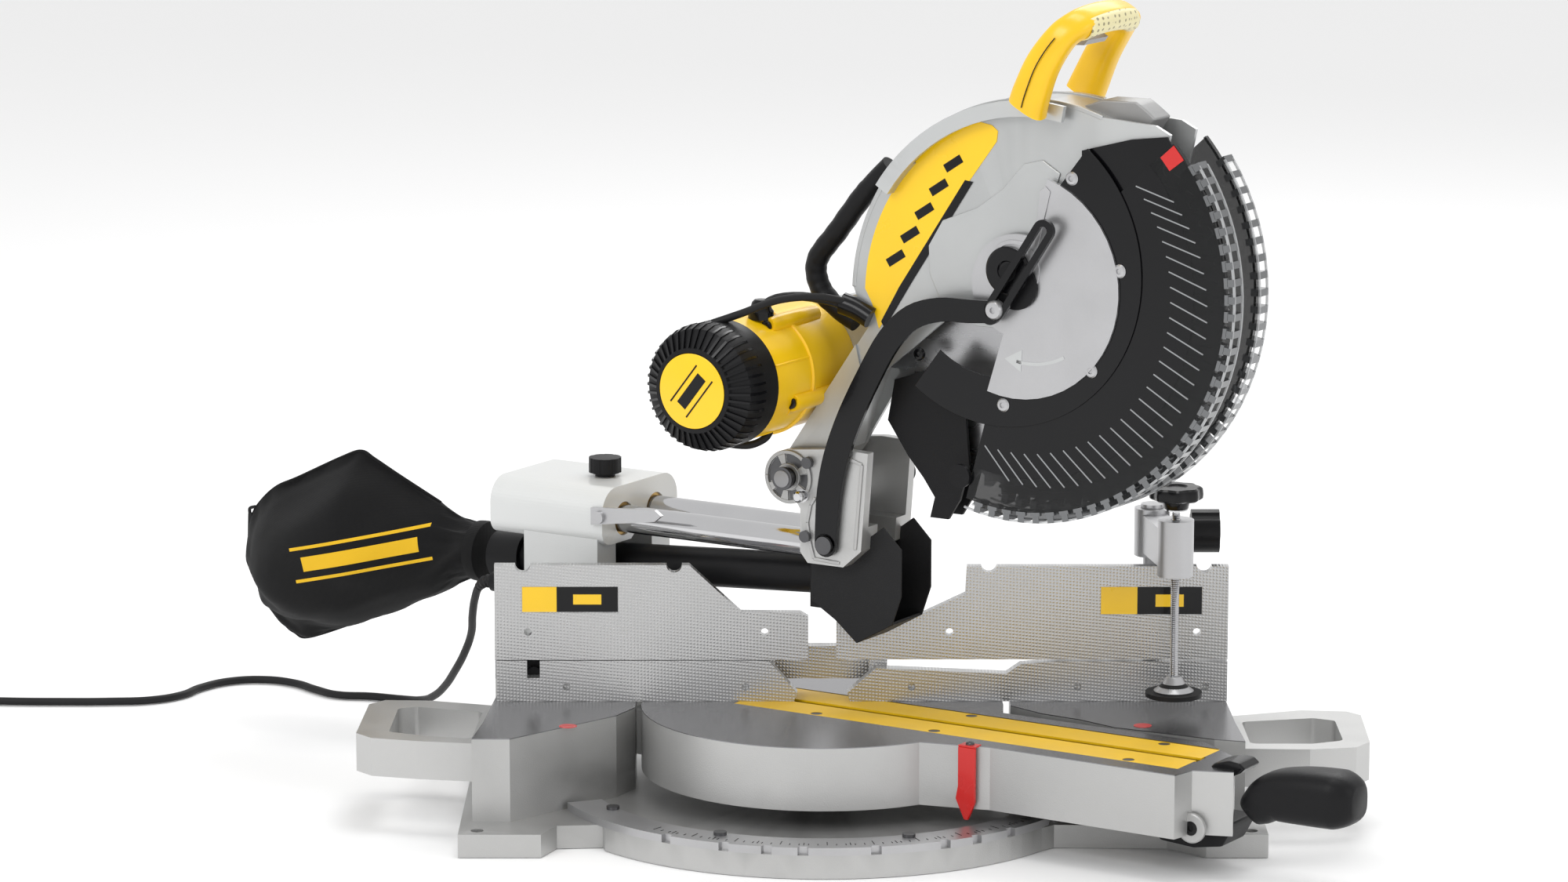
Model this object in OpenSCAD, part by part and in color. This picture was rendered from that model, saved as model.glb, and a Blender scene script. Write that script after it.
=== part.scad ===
/* [Base] */
// Height of the table surface above the bench
table_h = 83.3; // [82:0.1:84]
// Distance between the bench bolt holes, left to right
bolt_span_x = 588; // [580:1:592]
// Distance between the bench bolt holes, front to back
bolt_span_y = 276; // [270:1:280]
// Diameter of the bench bolt holes
bolt_hole_d = 10; // [8:0.5:11]
// Radius of the front arc wall of the base
arc_wall_r = 211; // [210:1:212]

/* [Turntable] */
// Sideways place of the turntable pivot from the middle of the base
pivot_x = -31; // [-33:1:-29]
// Miter angle at rest, to the right
rest_miter = 58; // [56:1:58]
// Radius of the turntable disc
disc_r = 141.5; // [140:0.5:142]
// Width of the arm that carries the kerf plates
arm_w = 100; // [96:1:104]

/* [Fence] */
// Place of the fence face behind the pivot
fence_y = 9; // [9:0.5:10]
// Height of the top edge of the sliding fences
fence_top = 192.5; // [190:0.5:194]
// Diameter of the facing board holes
board_hole_d = 6; // [5:0.5:7]

/* [Rails and carriage] */
// Diameter of each slide rail
rail_d = 21.8; // [21:0.1:21.8]
// Height of the rail axes
rail_z = 217; // [216:0.5:218]
// Distance between the two rail axes
rail_gap = 45; // [44:0.5:46]
// Length of the slide rails
rail_len = 268; // [266:1:270]

/* [Head] */
// Radius of the saw blade
blade_r = 152.4; // [150:0.1:152.4]
// Thickness of the blade body
blade_t = 2; // [1.6:0.1:2.4]
// Number of teeth on the blade
teeth = 60; // [40:2:60]
// Radius of the motor housing
motor_r = 47.5; // [45:0.5:48]
// Outer radius of the lower guard rim
guard_r = 181; // [180:0.5:181]

/* [Hidden] */
$fn = 64;

// Places in the arm frame: x to the right, y to the rear, z up
hub = [0, 8, 270];
arbor = [0, -201, 415];
guard_c = [0, -189, 435];
link_c = [0, -28, 221];
motor_c = [0, 35, 349];
rail_front = -2;
front_end = -352;

// Free cord: from the gland at the rear of the turntable to the coil, arm frame
cord_d = 6.5;
cord_route = [
  [-54, 274, 160], [-53, 284, 158], [-48, 293, 152], [-38, 304, 140], [-22, 318, 122],
  [0, 335, 100], [18, 355, 77], [36, 378, 55], [56, 402, 36], [78, 430, 19], [98, 458, 8],
  [108, 484, 3.4], [103, 512, 3.3], [92, 540, 3.3], [98, 568, 3.3], [107, 596, 3.3],
  [104, 626, 3.3], [84, 648, 3.3], [50, 655, 3.3], [22, 652, 3.3], [-6, 662, 3.3],
  [-30, 690, 3.3], [-52, 724, 3.3], [-74, 762, 3.3], [-90, 798, 3.3], [-96, 818, 3.3]
];
coil_c = [-139, 845];
coil_in = 26;
coil_out = 50;
coil_h = 27;

// ---------- frames and small shared shapes ----------

module arm_frame() {
  translate([pivot_x, 0, 0]) rotate([0, 0, rest_miter]) children();
}

// Extrudes a (y, z) outline along x, from x0 to x1
module side(x0, x1) {
  translate([x0, 0, 0]) rotate([90, 0, 90]) linear_extrude(x1 - x0) children();
}

// Cylinder along x through the point (y, z)
module bar_x(x0, x1, p, r) {
  translate([x0, p[1], p[2]]) rotate([0, 90, 0]) cylinder(h = x1 - x0, r = r);
}

// Cylinder along y through the point (x, z)
module bar_y(y0, y1, x, z, r) {
  translate([x, y0, z]) rotate([-90, 0, 0]) cylinder(h = y1 - y0, r = r);
}

// Pan head screw along x, its head towards -x
module screw_x(p, x, r = 5, len = 12) {
  bar_x(x - 4, x, p, r);
  bar_x(x, x + len, p, r * 0.5);
}

function arc_pts(c, r, a0, a1, n) =
  [for (i = [0:n]) let (a = a0 + (a1 - a0) * i / n) [c[0] + r * cos(a), c[1] + r * sin(a)]];

function dir(a) = [-cos(a), sin(a)];

// Arc in the (y, z) plane: 0 degrees points forward, 90 up
function head_arc(c, r, a0, a1, n) =
  [for (i = [0:n]) let (a = a0 + (a1 - a0) * i / n) [c[1], c[2]] + r * dir(a)];

module pie(c, r, a0, a1) {
  polygon(concat([[c[1], c[2]]], head_arc(c, r, a0, a1, 24)));
}

// Left or right half of a symmetric arm part
module both_sides() {
  children();
  mirror([1, 0, 0]) children();
}

// ---------- base ----------

module base_casting() color("silver") translate([pivot_x, 0, 0]) difference() {
  union() {
    difference() {
      linear_extrude(18) base_outline();
      translate([0, 0, -1]) linear_extrude(15) intersection() {
        base_outline();
        difference() {
          circle(r = arc_wall_r - 6);
          circle(r = 34);
          for (a = [20:40:340]) rotate([0, 0, a]) translate([0, -3]) square([300, 6]);
        }
      }
    }
    wing_shell(-1, [[-256, 30], [-262, -60], [-268, -112], [-239, -112], [-160, -37],
      [-146, -10], [-146, 30]]);
    wing_shell(1, [[316, 30], [318, -60], [321, -120], [298, -113], [224, -75], [200, -51],
      [170, -30], [147, -4], [147, 30]]);
    cylinder(h = 48, r = 26);
  }
  translate([0, 0, -1]) cylinder(h = 60, r = 8);
  for (x = [-1, 1], y = [-1, 1])
    translate([x * bolt_span_x / 2 - pivot_x, y * bolt_span_y / 2, -1])
      cylinder(h = 30, r = bolt_hole_d / 2);
  translate([-259, 42, -1]) cylinder(h = 120, r = 7.1);
}

module base_outline() {
  polygon(concat(
    [[-277, -150], [-214, -150], [-203, -124], [-168, -121]],
    arc_pts([0, 0], arc_wall_r, 218, 322, 32),
    [[176, -121], [262, -124], [290, -150], [337, -150], [337, 150], [290, 150], [262, 112],
      [-200, 112], [-214, 150], [-277, 150]]));
}

// Hollow wing with a top skin, side walls down to the floor plate and an arc towards the disc
module wing_shell(s, pts) {
  difference() {
    translate([0, 0, 18]) linear_extrude(table_h - 18) difference() {
      polygon(pts);
      circle(r = disc_r + 1);
    }
    translate([0, 0, 10]) linear_extrude(table_h - 17) offset(delta = -6) difference() {
      polygon(pts);
      circle(r = disc_r + 1);
    }
  }
}

// Carrying handle: a bar held by two necks, with an open grip
module side_handle(outer, inner) {
  translate([0, 0, 45]) difference() {
    linear_extrude(30) polygon(outer);
    translate([0, 0, -1]) linear_extrude(32) offset(r = 6, $fn = 32) offset(delta = -6) polygon(inner);
  }
}

module side_handle_left() color("silver")
  side_handle([[-297.6, -94], [-342, -86], [-378, -76], [-391, -60], [-388, 34], [-376, 48],
    [-340, 46], [-287.2, 29]], [[-301, -78], [-340, -68], [-366, -56], [-364, 20], [-350, 26],
    [-297, 8]]);

module side_handle_right() color("silver")
  side_handle([[289.9, -110], [340, -112], [376, -106], [388, -88], [390, -2], [380, 10],
    [345, 14], [286.3, -6]], [[296, -94], [344, -94], [368, -84], [368, -20], [352, -12],
    [295, -24]]);

module detent_plate() color("gainsboro") translate([pivot_x, 0, 18]) linear_extrude(6)
  difference() {
    intersection() {
      difference() {
        circle(r = arc_wall_r);
        circle(r = 183);
      }
      polygon([[0, 0], [-330, -128], [-330, -330], [330, -330], [330, -128]]);
    }
    for (a = [-45, -31.6, -22.5, -15, 0, 15, 22.5, 31.6, 45]) rotate([0, 0, a + 10.7])
      translate([0, -207]) polygon([[-3, 0], [3, 0], [5, -8], [-5, -8]]);
    for (p = detent_points) translate(p) circle(r = 2.6);
  }

detent_points = [[-161, -96], [-78, -172], [64, -178], [165, -92]];

module base_screws() color("darkgray") translate([pivot_x, 0, 0]) {
  for (p = detent_points) translate([p[0], p[1], 0]) {
    translate([0, 0, 24]) cylinder(h = 2.5, r = 5);
    translate([0, 0, 18.1]) cylinder(h = 5.9, r = 2.5);
  }
  for (x = [-200, -165, 200, 300]) translate([x, fence_y + 12.1, 90])
    rotate([-90, 0, 0]) cylinder(h = 4, r = 5);
}

module pivot_bolt() color("dimgray") translate([pivot_x, 0, 0]) {
  translate([0, 0, 0.5]) cylinder(h = 75, r = 7.94);
  translate([0, 0, 60.1]) cylinder(h = 8, r = 13, $fn = 6);
}

// ---------- fence and clamp ----------

fence_z0 = table_h + 0.1;

module fixed_fence() color("silver") translate([pivot_x, 0, 0]) difference() {
  union() {
    translate([0, fence_y + 12, 0]) rotate([90, 0, 0]) linear_extrude(12) polygon([[-255, fence_z0],
      [-22, fence_z0], [-19.5, 90], [-42, 116], [-255, 116]]);
    translate([0, fence_y + 12, 0]) rotate([90, 0, 0]) linear_extrude(12) polygon([[317, fence_z0],
      [22, fence_z0], [19.5, 90], [42, 110], [144, 105.4], [155, 113], [184, 115.5], [317, 115.5]]);
    for (s = [-1, 1]) translate([s * 44 - 7, fence_y + 12, 95]) cube([14, 26, 20]);
    translate([-51, 38, 95]) cube([102, 12, 26]);
  }
  translate([-231, 0, 102]) cube([10, 60, 20]);
  for (x = [-200, -60, 70, 200, 300]) translate([x, fence_y - 1, 95]) rotate([-90, 0, 0])
    cylinder(h = 6, r = 3);
}

module fence_holes(xs, notches) {
  for (x = xs) translate([x, 0, 139]) rotate([-90, 0, 0]) cylinder(h = 60, r = board_hole_d / 2);
  for (x = notches) translate([x, 0, fence_top]) rotate([-90, 0, 0]) cylinder(h = 60, r = 6);
}

module upper_fence_left() color("silver") translate([pivot_x, 0, 0]) difference() {
  translate([0, fence_y + 9, 0]) rotate([90, 0, 0]) linear_extrude(9) polygon([[-256, 116.7],
    [-11, 116.7], [-11, 151], [-17, 154.5], [-63.6, 155], [-104, fence_top], [-256, fence_top]]);
  fence_holes([-230, -45], [-234, -115.6]);
  translate([-235, fence_y - 1, 154.4]) cube([76, 1.8, 21]);
}

module upper_fence_right() color("silver") translate([pivot_x, 0, 0]) difference() {
  translate([0, fence_y + 9, 0]) rotate([90, 0, 0]) linear_extrude(9) polygon([[11, 117],
    [317, 117], [317, fence_top - 1], [112.7, fence_top - 1], [111.5, 169.5], [69.4, 149.5],
    [11, 147.6]]);
  fence_holes([99.5, 292.7], [130, 298]);
  translate([217, fence_y - 1, 152.6]) cube([80, 1.8, 23]);
}

// Five lobed clamping knob behind a sliding fence
module fence_knob(x) translate([pivot_x + x, 21.3, 103]) rotate([-90, 0, 0]) {
  cylinder(h = 6, r = 5);
  translate([0, 0, 6]) difference() {
    cylinder(h = 14, r = 14);
    for (a = [0:72:359]) rotate([0, 0, a]) translate([18, 0, -1]) cylinder(h = 16, r = 6);
  }
}

module fence_knob_left() color("#202020") fence_knob(-226);
module fence_knob_right() color("#202020") fence_knob(236);

clamp_x = 259;

module clamp_post() color("lightgray") translate([pivot_x + clamp_x, 42, 0]) {
  translate([0, 0, 18.1]) cylinder(h = 175, r = 7);
  translate([0, 0, 232]) cylinder(h = 3, r = 9);
  translate([0, 0, 193]) cylinder(h = 39, r = 6);
}

module clamp_arm() color("#1c1c1c") translate([pivot_x + clamp_x, 42, 0]) difference() {
  union() {
    translate([0, 0, 194]) cylinder(h = 37.8, r = 14);
    translate([0, 0, 198]) linear_extrude(30) polygon([[-10, 0], [10, 0], [21, -77], [3, -77]]);
    translate([13, -77, 194]) cylinder(h = 44, r = 14);
  }
  translate([0, 0, 190]) cylinder(h = 50, r = 6.3);
  translate([13, -77, 190]) cylinder(h = 60, r = 3.9);
}

module clamp_screw() color("#d8d8d8") translate([pivot_x + clamp_x + 13, -35, 0]) {
  translate([0, 0, 111]) cylinder(h = 135, r = 3.5);
  translate([0, 0, 246]) cylinder(h = 8, r = 9);
  translate([0, 0, 254]) difference() {
    cylinder(h = 10, r = 20);
    for (a = [0:60:359]) rotate([0, 0, a]) translate([25, 0, -1]) cylinder(h = 12, r = 8);
  }
}

module clamp_foot() color("#303030") translate([pivot_x + clamp_x + 13, -35, 0]) {
  translate([0, 0, 98.5]) cylinder(h = 3.5, r = 22);
  translate([0, 0, 102]) cylinder(h = 9, r1 = 16, r2 = 6);
}

module clamp_lock_knob() color("#1c1c1c") translate([pivot_x + clamp_x, 42, 213])
  rotate([0, 90, 0]) {
    translate([0, 0, 14.4]) cylinder(h = 16, r = 6);
    translate([0, 0, 30.4]) difference() {
      cylinder(h = 22, r = 17);
      for (a = [0:72:359]) rotate([0, 0, a]) translate([22, 0, -1]) cylinder(h = 24, r = 7);
    }
  }

// ---------- turntable ----------

kerf_half = 4;

module arm_plan() {
  circle(r = disc_r);
  polygon([[-68, -110], [-57, -156], [-arm_w / 2, -180], [-52, -339], [-32, -343],
    [-21, front_end - 20], [20, front_end], [arm_w / 2, -311], [arm_w / 2, -120], [40, 0],
    [-40, 0]]);
}

module turntable() color("silver") arm_frame() difference() {
  union() {
    difference() {
      translate([0, 0, 34]) linear_extrude(table_h - 34) arm_plan();
      translate([0, 0, 33]) linear_extrude(table_h - 39) difference() {
        offset(delta = -6) arm_plan();
        circle(r = 26);
        for (x = [-14, 14]) translate([x - 4, -400]) square([8, 520]);
      }
    }
    // rear neck and the trunnion that carries the bevel bolt
    translate([-46, 100, 34]) cube([92, 49.7, 36]);
    translate([-28, 149.6, 34]) cube([56, 21, 44]);
    bar_y(149.6, 170.6, 0, table_h, 20);
    // ear for the cord gland, behind the pillar
    translate([-46, 130, 34]) cube([10, 121, 14]);
    translate([-62, 250, 34]) cube([26, 18, 14]);
    translate([-62, 250, 34]) cube([16, 18, 132]);
  }
  translate([0, 0, 30]) cylinder(h = 20, r = 26.3);
  translate([0, 0, 30]) cylinder(h = 46, r = 8.04);
  translate([0, 0, 59.8]) cylinder(h = 20, r = 16);
  bar_y(140, 180, 0, table_h, 8);
  translate([-8, -334, 30]) cube([16, 400, 60]);
  translate([-34.2, -332, table_h - 3.2]) cube([70.4, 392, 4]);
  bar_y(249, 270, -54, 160, 5.5);
  for (p = kerf_points) translate([p[0], p[1], 60]) cylinder(h = 40, r = 2.5);
}

kerf_points = [[-28, -12], [-28, -118], [-28, -287], [29, -12], [29, -118], [29, -287]];

module kerf_plate(s) arm_frame() difference() {
  translate([0, 0, table_h - 3.1]) linear_extrude(3.1) polygon([[s * kerf_half, -331.8],
    [s * 34, -331.8], [s * 34, 59.8], [s * kerf_half, 59.8]]);
  for (p = kerf_points) translate([p[0], p[1], 60]) {
    cylinder(h = 40, r = 2.6);
    translate([0, 0, table_h - 62.1]) cylinder(h = 5, r = 4.7);
  }
  translate([0, 59.8, table_h - 3.1]) rotate([90, 0, 0]) linear_extrude(391.6)
    polygon([[0, -2], [s * 7, -2], [s * kerf_half, 1.6], [0, 1.6]]);
}

module kerf_plate_left() color("gold") kerf_plate(-1);
module kerf_plate_right() color("gold") kerf_plate(1);

module kerf_screws() color("dimgray") arm_frame() for (p = kerf_points)
  translate([p[0], p[1], 0]) {
    translate([0, 0, 68]) cylinder(h = table_h - 70, r = 2.45);
    translate([0, 0, table_h - 2]) cylinder(h = 1.7, r = 4.5);
  }

module miter_pointer() color("red") arm_frame() {
  side(-58.5, -57.3) polygon([[-172, 52], [-158, 50], [-157, 32], [-164, 28], [-171, 34]]);
}

module miter_lock_lever() color("#1a1a1a") arm_frame() {
  bar_y(-384, front_end - 20.3, -2, 46, 9);
  side(-20, 16) polygon([[-376, 34], [-390, 44], [-412, 47], [-440, 50], [-464, 62], [-466, 76],
    [-443, 86], [-404, 90], [-384, 84], [-378, 62]]);
}

module detent_override() color("#1a1a1a") arm_frame() {
  side(-28, 18) polygon([[-358, 90], [-358, 85], [-376, 92], [-394, 108], [-388, 114], [-374, 100]]);
  bar_x(-30, 20, [0, -360, 88.2], 4);
}

module bevel_bolt() color("dimgray") arm_frame() {
  bar_y(149.4, 236, 0, table_h, 7.94);
  translate([0, 149.4, table_h]) rotate([90, 0, 0]) cylinder(h = 6, r = 12, $fn = 6);
}

module cord_gland() color("#181818") arm_frame() {
  bar_y(249, 268.1, -54, 160, 5.4);
  translate([-54, 268.1, 160]) rotate([-90, 0, 0]) difference() {
    cylinder(h = 6, r = 8);
    translate([0, 0, -1]) cylinder(h = 8, r = 3.3);
  }
}

// ---------- free cord ----------

function unit(v) = v / norm(v);
function route_tan(p, i) = unit(p[min(i + 1, len(p) - 1)] - p[max(i - 1, 0)]);
function spline(a, b, c, d, t) = 0.5 * ((2 * b) + (c - a) * t + (2 * a - 5 * b + 4 * c - d) * t * t
  + (3 * b - a - 3 * c + d) * t * t * t);
function smooth(p, n) = concat([for (i = [0:len(p) - 2], k = [0:n - 1])
  spline(p[max(i - 1, 0)], p[i], p[i + 1], p[min(i + 2, len(p) - 1)], k / n)], [p[len(p) - 1]]);

module tube(route, d, sides) {
  n = len(route);
  rings = [for (i = [0:n - 1]) let (
    t = route_tan(route, i), u = unit(cross(t, [0.05, 0.03, 1])), v = cross(u, t))
    for (k = [0:sides - 1]) route[i] + d / 2 * (u * cos(360 * k / sides) + v * sin(360 * k / sides))];
  polyhedron(rings, concat(
    [[for (k = [0:sides - 1]) k]],
    [[for (k = [sides - 1:-1:0]) (n - 1) * sides + k]],
    [for (i = [0:n - 2], k = [0:sides - 1]) [i * sides + k, (i + 1) * sides + k,
      (i + 1) * sides + (k + 1) % sides, i * sides + (k + 1) % sides]]));
}

module power_cord() color("#202020") arm_frame() tube(smooth(cord_route, 2), cord_d, 8);

module cord_coil() color("#202020") arm_frame() translate([coil_c[0], coil_c[1], 0.05])
  rotate_extrude() translate([coil_in, 0]) square([coil_out - coil_in, coil_h]);

module power_plug() color("#202020") arm_frame() translate([coil_c[0], coil_c[1] - 36, coil_h + 0.1]) {
  translate([-8, -13, 0]) cube([38, 26, 18]);
  for (y = [-6, 6]) translate([30, y - 3, 8]) cube([17, 6, 1.6]);
}

// ---------- bevel housing ----------

module rail_housing() color("white") arm_frame() difference() {
  union() {
    // sleeve block that holds the two rails
    translate([0, 170, 0]) rotate([-90, 0, 0]) linear_extrude(107) mirror([0, 1]) hull()
      for (s = [-1, 1]) {
        translate([s * 34, 224]) circle(r = 20, $fn = 48);
        translate([s * 42, 211]) circle(r = 12, $fn = 48);
      }
    // pillar down to the bevel axis
    side(-52, 52) polygon([[176, 206], [176, 100], [171.1, 92], [171.1, 50], [236, 50], [246, 110],
      [246, 206]]);
  }
  for (s = [-1, 1]) bar_y(160, 290, s * rail_gap / 2, rail_z, rail_d / 2 + 2.5);
  translate([-26, 160, 132]) cube([52, 100, 66]);
  // groove over the dust duct
  bar_y(160, 290, 0, 187, 17.4);
  // round foot that rolls about the bevel axis
  difference() {
    translate([-60, 160, 40]) cube([120, 100, table_h - 40]);
    bar_y(150, 270, 0, table_h, 34);
  }
  bar_y(165, 240, 0, table_h, 8.04);
  translate([-40, 184, 40]) cube([26, 44, 50]);
  translate([14, 184, 40]) cube([26, 44, 50]);
}

module rail_bushings() color("goldenrod") arm_frame() for (s = [-1, 1], y = [172, 250]) difference() {
  bar_y(y, y + 25, s * rail_gap / 2, rail_z, rail_d / 2 + 2.5);
  bar_y(y - 1, y + 26, s * rail_gap / 2, rail_z, rail_d / 2 + 0.05);
}

module rail_lock_knob() color("#181818") arm_frame() translate([0, 203, 244.3]) {
  cylinder(h = 3, r = 8);
  translate([0, 0, 3]) difference() {
    cylinder(h = 12, r = 13);
    for (a = [0:40:359]) rotate([0, 0, a]) translate([15, 0, -1]) cylinder(h = 14, r = 2.6);
  }
}

module slide_stop_lever() color("#c8c8c8") arm_frame() {
  side(-58, -54.4) polygon([[178, 217], [178, 231], [118, 235], [112, 231], [118, 226]]);
  bar_x(-61, -58, [0, 170, 224], 5);
}

module bevel_lock_lever() color("#181818") arm_frame() {
  bar_y(246.4, 256, 0, table_h, 14);
  hull() {
    bar_y(256, 264, 0, table_h, 13);
    bar_y(262, 270, 34, table_h - 34, 9);
  }
}

// ---------- carriage ----------

module slide_rails() color("gainsboro") arm_frame() for (s = [-1, 1])
  bar_y(rail_front, rail_front + rail_len, s * rail_gap / 2, rail_z, rail_d / 2);

bracket_half = 36.5;

module bracket_body() side(-bracket_half, bracket_half)
  polygon([[-63, 295], [-57, 218], [-41, 204], [-9, 204], [-2.2, 212], [-2.2, 246], [2, 252],
    [15, 254], [28, 262], [28, 278], [10, 291], [-37, 296]]);

module pivot_bracket() color("silver") arm_frame() difference() {
  union() {
    bar_x(-bracket_half, bracket_half, hub, 21);
    bracket_body();
  }
  // gap between the cheeks where the head swings
  side(-28, 28) polygon([[-80, 236], [-12, 236], [-2, 244], [60, 244], [60, 320], [-80, 320]]);
  bar_x(-50, 50, hub, 6.9);
  for (p = bracket_points) bar_x(-40, -30, p, 2.3);
  // throat that the sawdust enters
  translate([-14, -80, 190]) cube([28, 70, 60]);
}

module dust_duct() color("#202020") arm_frame() {
  slope = atan2(188 - 168, 307);
  translate([0, 0, 188]) rotate([-slope, 0, 0]) translate([0, -1.4, 0]) difference() {
    union() {
      bar_y(0, 310, 0, 0, 15.5);
      bar_y(278, 308, 0, 0, 20);
    }
    bar_y(-1, 320, 0, 0, 13);
  }
}

module dust_chute() color("#202020") arm_frame() difference() {
  side(-22, 22) polygon([[-57, 204], [-57, 166], [-2.5, 166], [-2.5, 203.7], [-40.7, 203.7],
    [-57, 217]]);
  side(-19, 19) polygon([[-60, 220], [-60, 169], [-5, 169], [-5, 200], [-40, 200]]);
  translate([-14, -80, 185]) cube([28, 70, 60]);
  bar_y(-6, 0, 0, 188, 13);
}

module dust_bag() color("#151515") arm_frame() hull() {
  translate([0, 315, 170]) rotate([-90, 0, 0]) cylinder(h = 4, r = 24, $fn = 32);
  translate([0, 403, 168]) scale([1, 0.7, 0.9]) sphere(r = 58, $fn = 24);
  translate([0, 460, 158]) scale([1, 0.6, 1.3]) sphere(r = 56, $fn = 24);
  translate([0, 520, 138]) scale([1, 0.7, 1]) sphere(r = 50, $fn = 24);
}

bracket_points = [[0, -10, 283], [0, -8, 225]];

module bracket_screws() color("#303030") arm_frame() for (p = bracket_points)
  screw_x(p, -bracket_half, 4.5, 6);

module hub_pin() color("#202020") arm_frame() {
  link_pivot_pin();
  bar_x(-44, 44, hub, 6.84);
  bar_x(-47, -44, hub, 9);
  bar_x(44, 47, hub, 9);
}

module head_lock_pin() color("#202020") arm_frame() {
  bar_x(36.8, 60, [0, -36, 262], 4);
  bar_x(60, 66, [0, -36, 262], 9);
}

module guard_link() color("#707070") arm_frame() difference() {
  side(-42, -38) polygon([[-36, 212], [-20, 212], [-21, 279], [-27, 306], [-62, 376],
    [-103, 416], [-140, 422], [-164, 421], [-207, 483], [-221, 473], [-180, 405], [-140, 404],
    [-113, 400], [-75, 363], [-43, 300], [-38, 279]]);
  bar_x(-50, -30, link_c, 4.05);
}

module link_pivot_pin() {
  bar_x(-37.6, -36.6, link_c, 7);
  bar_x(-43, -36.6, link_c, 4);
  bar_x(-45, -42.3, link_c, 7);
}

// ---------- head ----------

module guard_outline(s) {
  polygon(concat(
    [[-68, 357], [-27, 291], [-10, 270], [8, 254], [24, 270], [16, 288], [-54, 390]],
    head_arc(arbor, 160, 178, 70, 36), [[-300, 562], [-312, 556], [-306, 530], [-255, 470]],
    s < 0 ? [[-216, 442], [-206, 416], [-182, 408], [-162, 424], [-120, 400]]
      : [[-240, 440], [-242, 400], [-206, 372], [-165, 384], [-120, 380]]));
}

module rim_band(a0, a1) polygon(concat(head_arc(arbor, 160, a0, a1, 16), head_arc(arbor, 148, a1, a0, 16)));

module upper_guard() color("silver") arm_frame() difference() {
  union() {
    for (s = [-1, 1]) side(s < 0 ? -22 : 18.5, s < 0 ? -18.5 : 22) guard_outline(s);
    // outer band over the teeth
    side(-19, 19) difference() {
      pie(arbor, 160, 176, 64);
      pie(arbor, 156.5, 180, 60);
    }
    // arm down to the hub
    side(-24, 24) polygon([[-50, 352], [-27, 291], [-10, 270], [8, 254], [24, 270], [16, 288],
      [-44, 376]]);
    bar_x(-27.7, 27.7, hub, 18);
    // boss that the lower guard turns on
    bar_x(-30.4, -19, guard_c, 11.95);
    // bearing boss for the arbor
    bar_x(12, 28, arbor, 24);
    // yoke that carries the handle outside the moving guard
    both_sides() {
      side(28.6, 33) rim_band(80, 147);
      side(19, 33) rim_band(135, 147);
    }
  }
  bar_x(-50, 50, hub, 6.94);
  bar_x(0, 50, arbor, 8.3);
}

module guard_pivot_cap() color("#181818") arm_frame() {
  bar_x(-33.5, -30.9, guard_c, 18);
  bar_x(-30.9, -30.45, guard_c, 8);
}

module dust_deflector() color("#181818") arm_frame() {
  both_sides() side(9, 12) polygon([[-72, 350], [-112, 364], [-134, 336], [-138, 290], [-130, 262],
    [-120, 246], [-104, 246], [-108, 262], [-98, 276], [-84, 292], [-66, 318]]);
  side(-9, 9) difference() {
    polygon([[-72, 350], [-80, 352], [-112, 250], [-104, 246], [-108, 262], [-98, 276], [-84, 292],
      [-66, 318]]);
    translate([arbor[1], arbor[2]]) circle(r = 155);
  }
}

handle_top = [[-262, 632], [-258, 641], [-240, 646], [-228, 641]];

module handle_half() {
  // leg
  side(33.1, 55) polygon(concat([[-186, 571], [-217, 563]], handle_top));
  // grip bar
  side(0.1, 33.2) polygon(concat(handle_top, [[-226, 630], [-238, 622], [-254, 623]]));
}

module handle_shell_left() color("gold") arm_frame() mirror([1, 0, 0]) handle_half();
module handle_shell_right() color("gold") arm_frame() handle_half();

module power_trigger() color("dimgray") arm_frame() difference() {
  side(-16, 16) polygon([[-239, 620.8], [-226, 628.6], [-214, 624], [-212, 619], [-224, 616.5],
    [-236, 617]]);
  bar_x(-20, 20, [0, -232, 622], 1.6);
}

module carry_handle() color("#161616") arm_frame()
  tube(smooth([[0, -33, 389], [0, -14, 398], [0, 4, 414], [0, 4, 434], [0, -20, 461],
    [0, -44, 493], [0, -61, 513]], 3), 17, 12);

module motor_housing() color("gold") arm_frame() difference() {
  union() {
    bar_x(-84.6, 28.4, motor_c, motor_r);
    side(-60, 24) polygon([[14, 308], [-6, 324], [-14, 336], [10, 350]]);
  }
  bar_x(-84.7, 22, motor_c, motor_r - 4);
  bar_x(20, 40, motor_c, 9);
}

module motor_end_cap() color("#1a1a1a") arm_frame() difference() {
  bar_x(-130, -84.8, motor_c, motor_r + 1);
  bar_x(-126, -80, motor_c, motor_r - 3);
  for (a = [0:20:359]) translate([0, motor_c[1], motor_c[2]]) rotate([a, 0, 0])
    translate([-122, -2, motor_r - 6]) cube([26, 4, 20]);
}

module motor_rotor() color("#a05a2c") arm_frame() {
  bar_x(-120, 50, motor_c, 6);
  bar_x(-80, 12, motor_c, 30);
  bar_x(-112, -86, motor_c, 38);
  bar_x(36, 50, motor_c, 16);
}

module motor_cables() color("#181818") arm_frame()
  tube(smooth([[-56, 22, 396.4], [-56, 20, 404], [-51, 10, 411], [-43, -8, 413], [-34, -26, 410],
    [-28, -38, 406], [-24, -46, 403]], 3), 7, 8);

module belt_cover() color("#c9c9c9") arm_frame() difference() {
  hull() {
    bar_x(28.6, 58, motor_c, 44);
    bar_x(28.6, 58, arbor, 32);
  }
  hull() {
    bar_x(34, 54, motor_c, 30);
    bar_x(34, 54, arbor, 27);
  }
  bar_x(20, 40, motor_c, 9);
  bar_x(20, 40, arbor, 12);
  bar_x(50, 60, [0, -120, 392], 5.3);
  // room for the pivot bracket when the head is down
  bar_x(28, 37.5, hub, 77);
}

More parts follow.
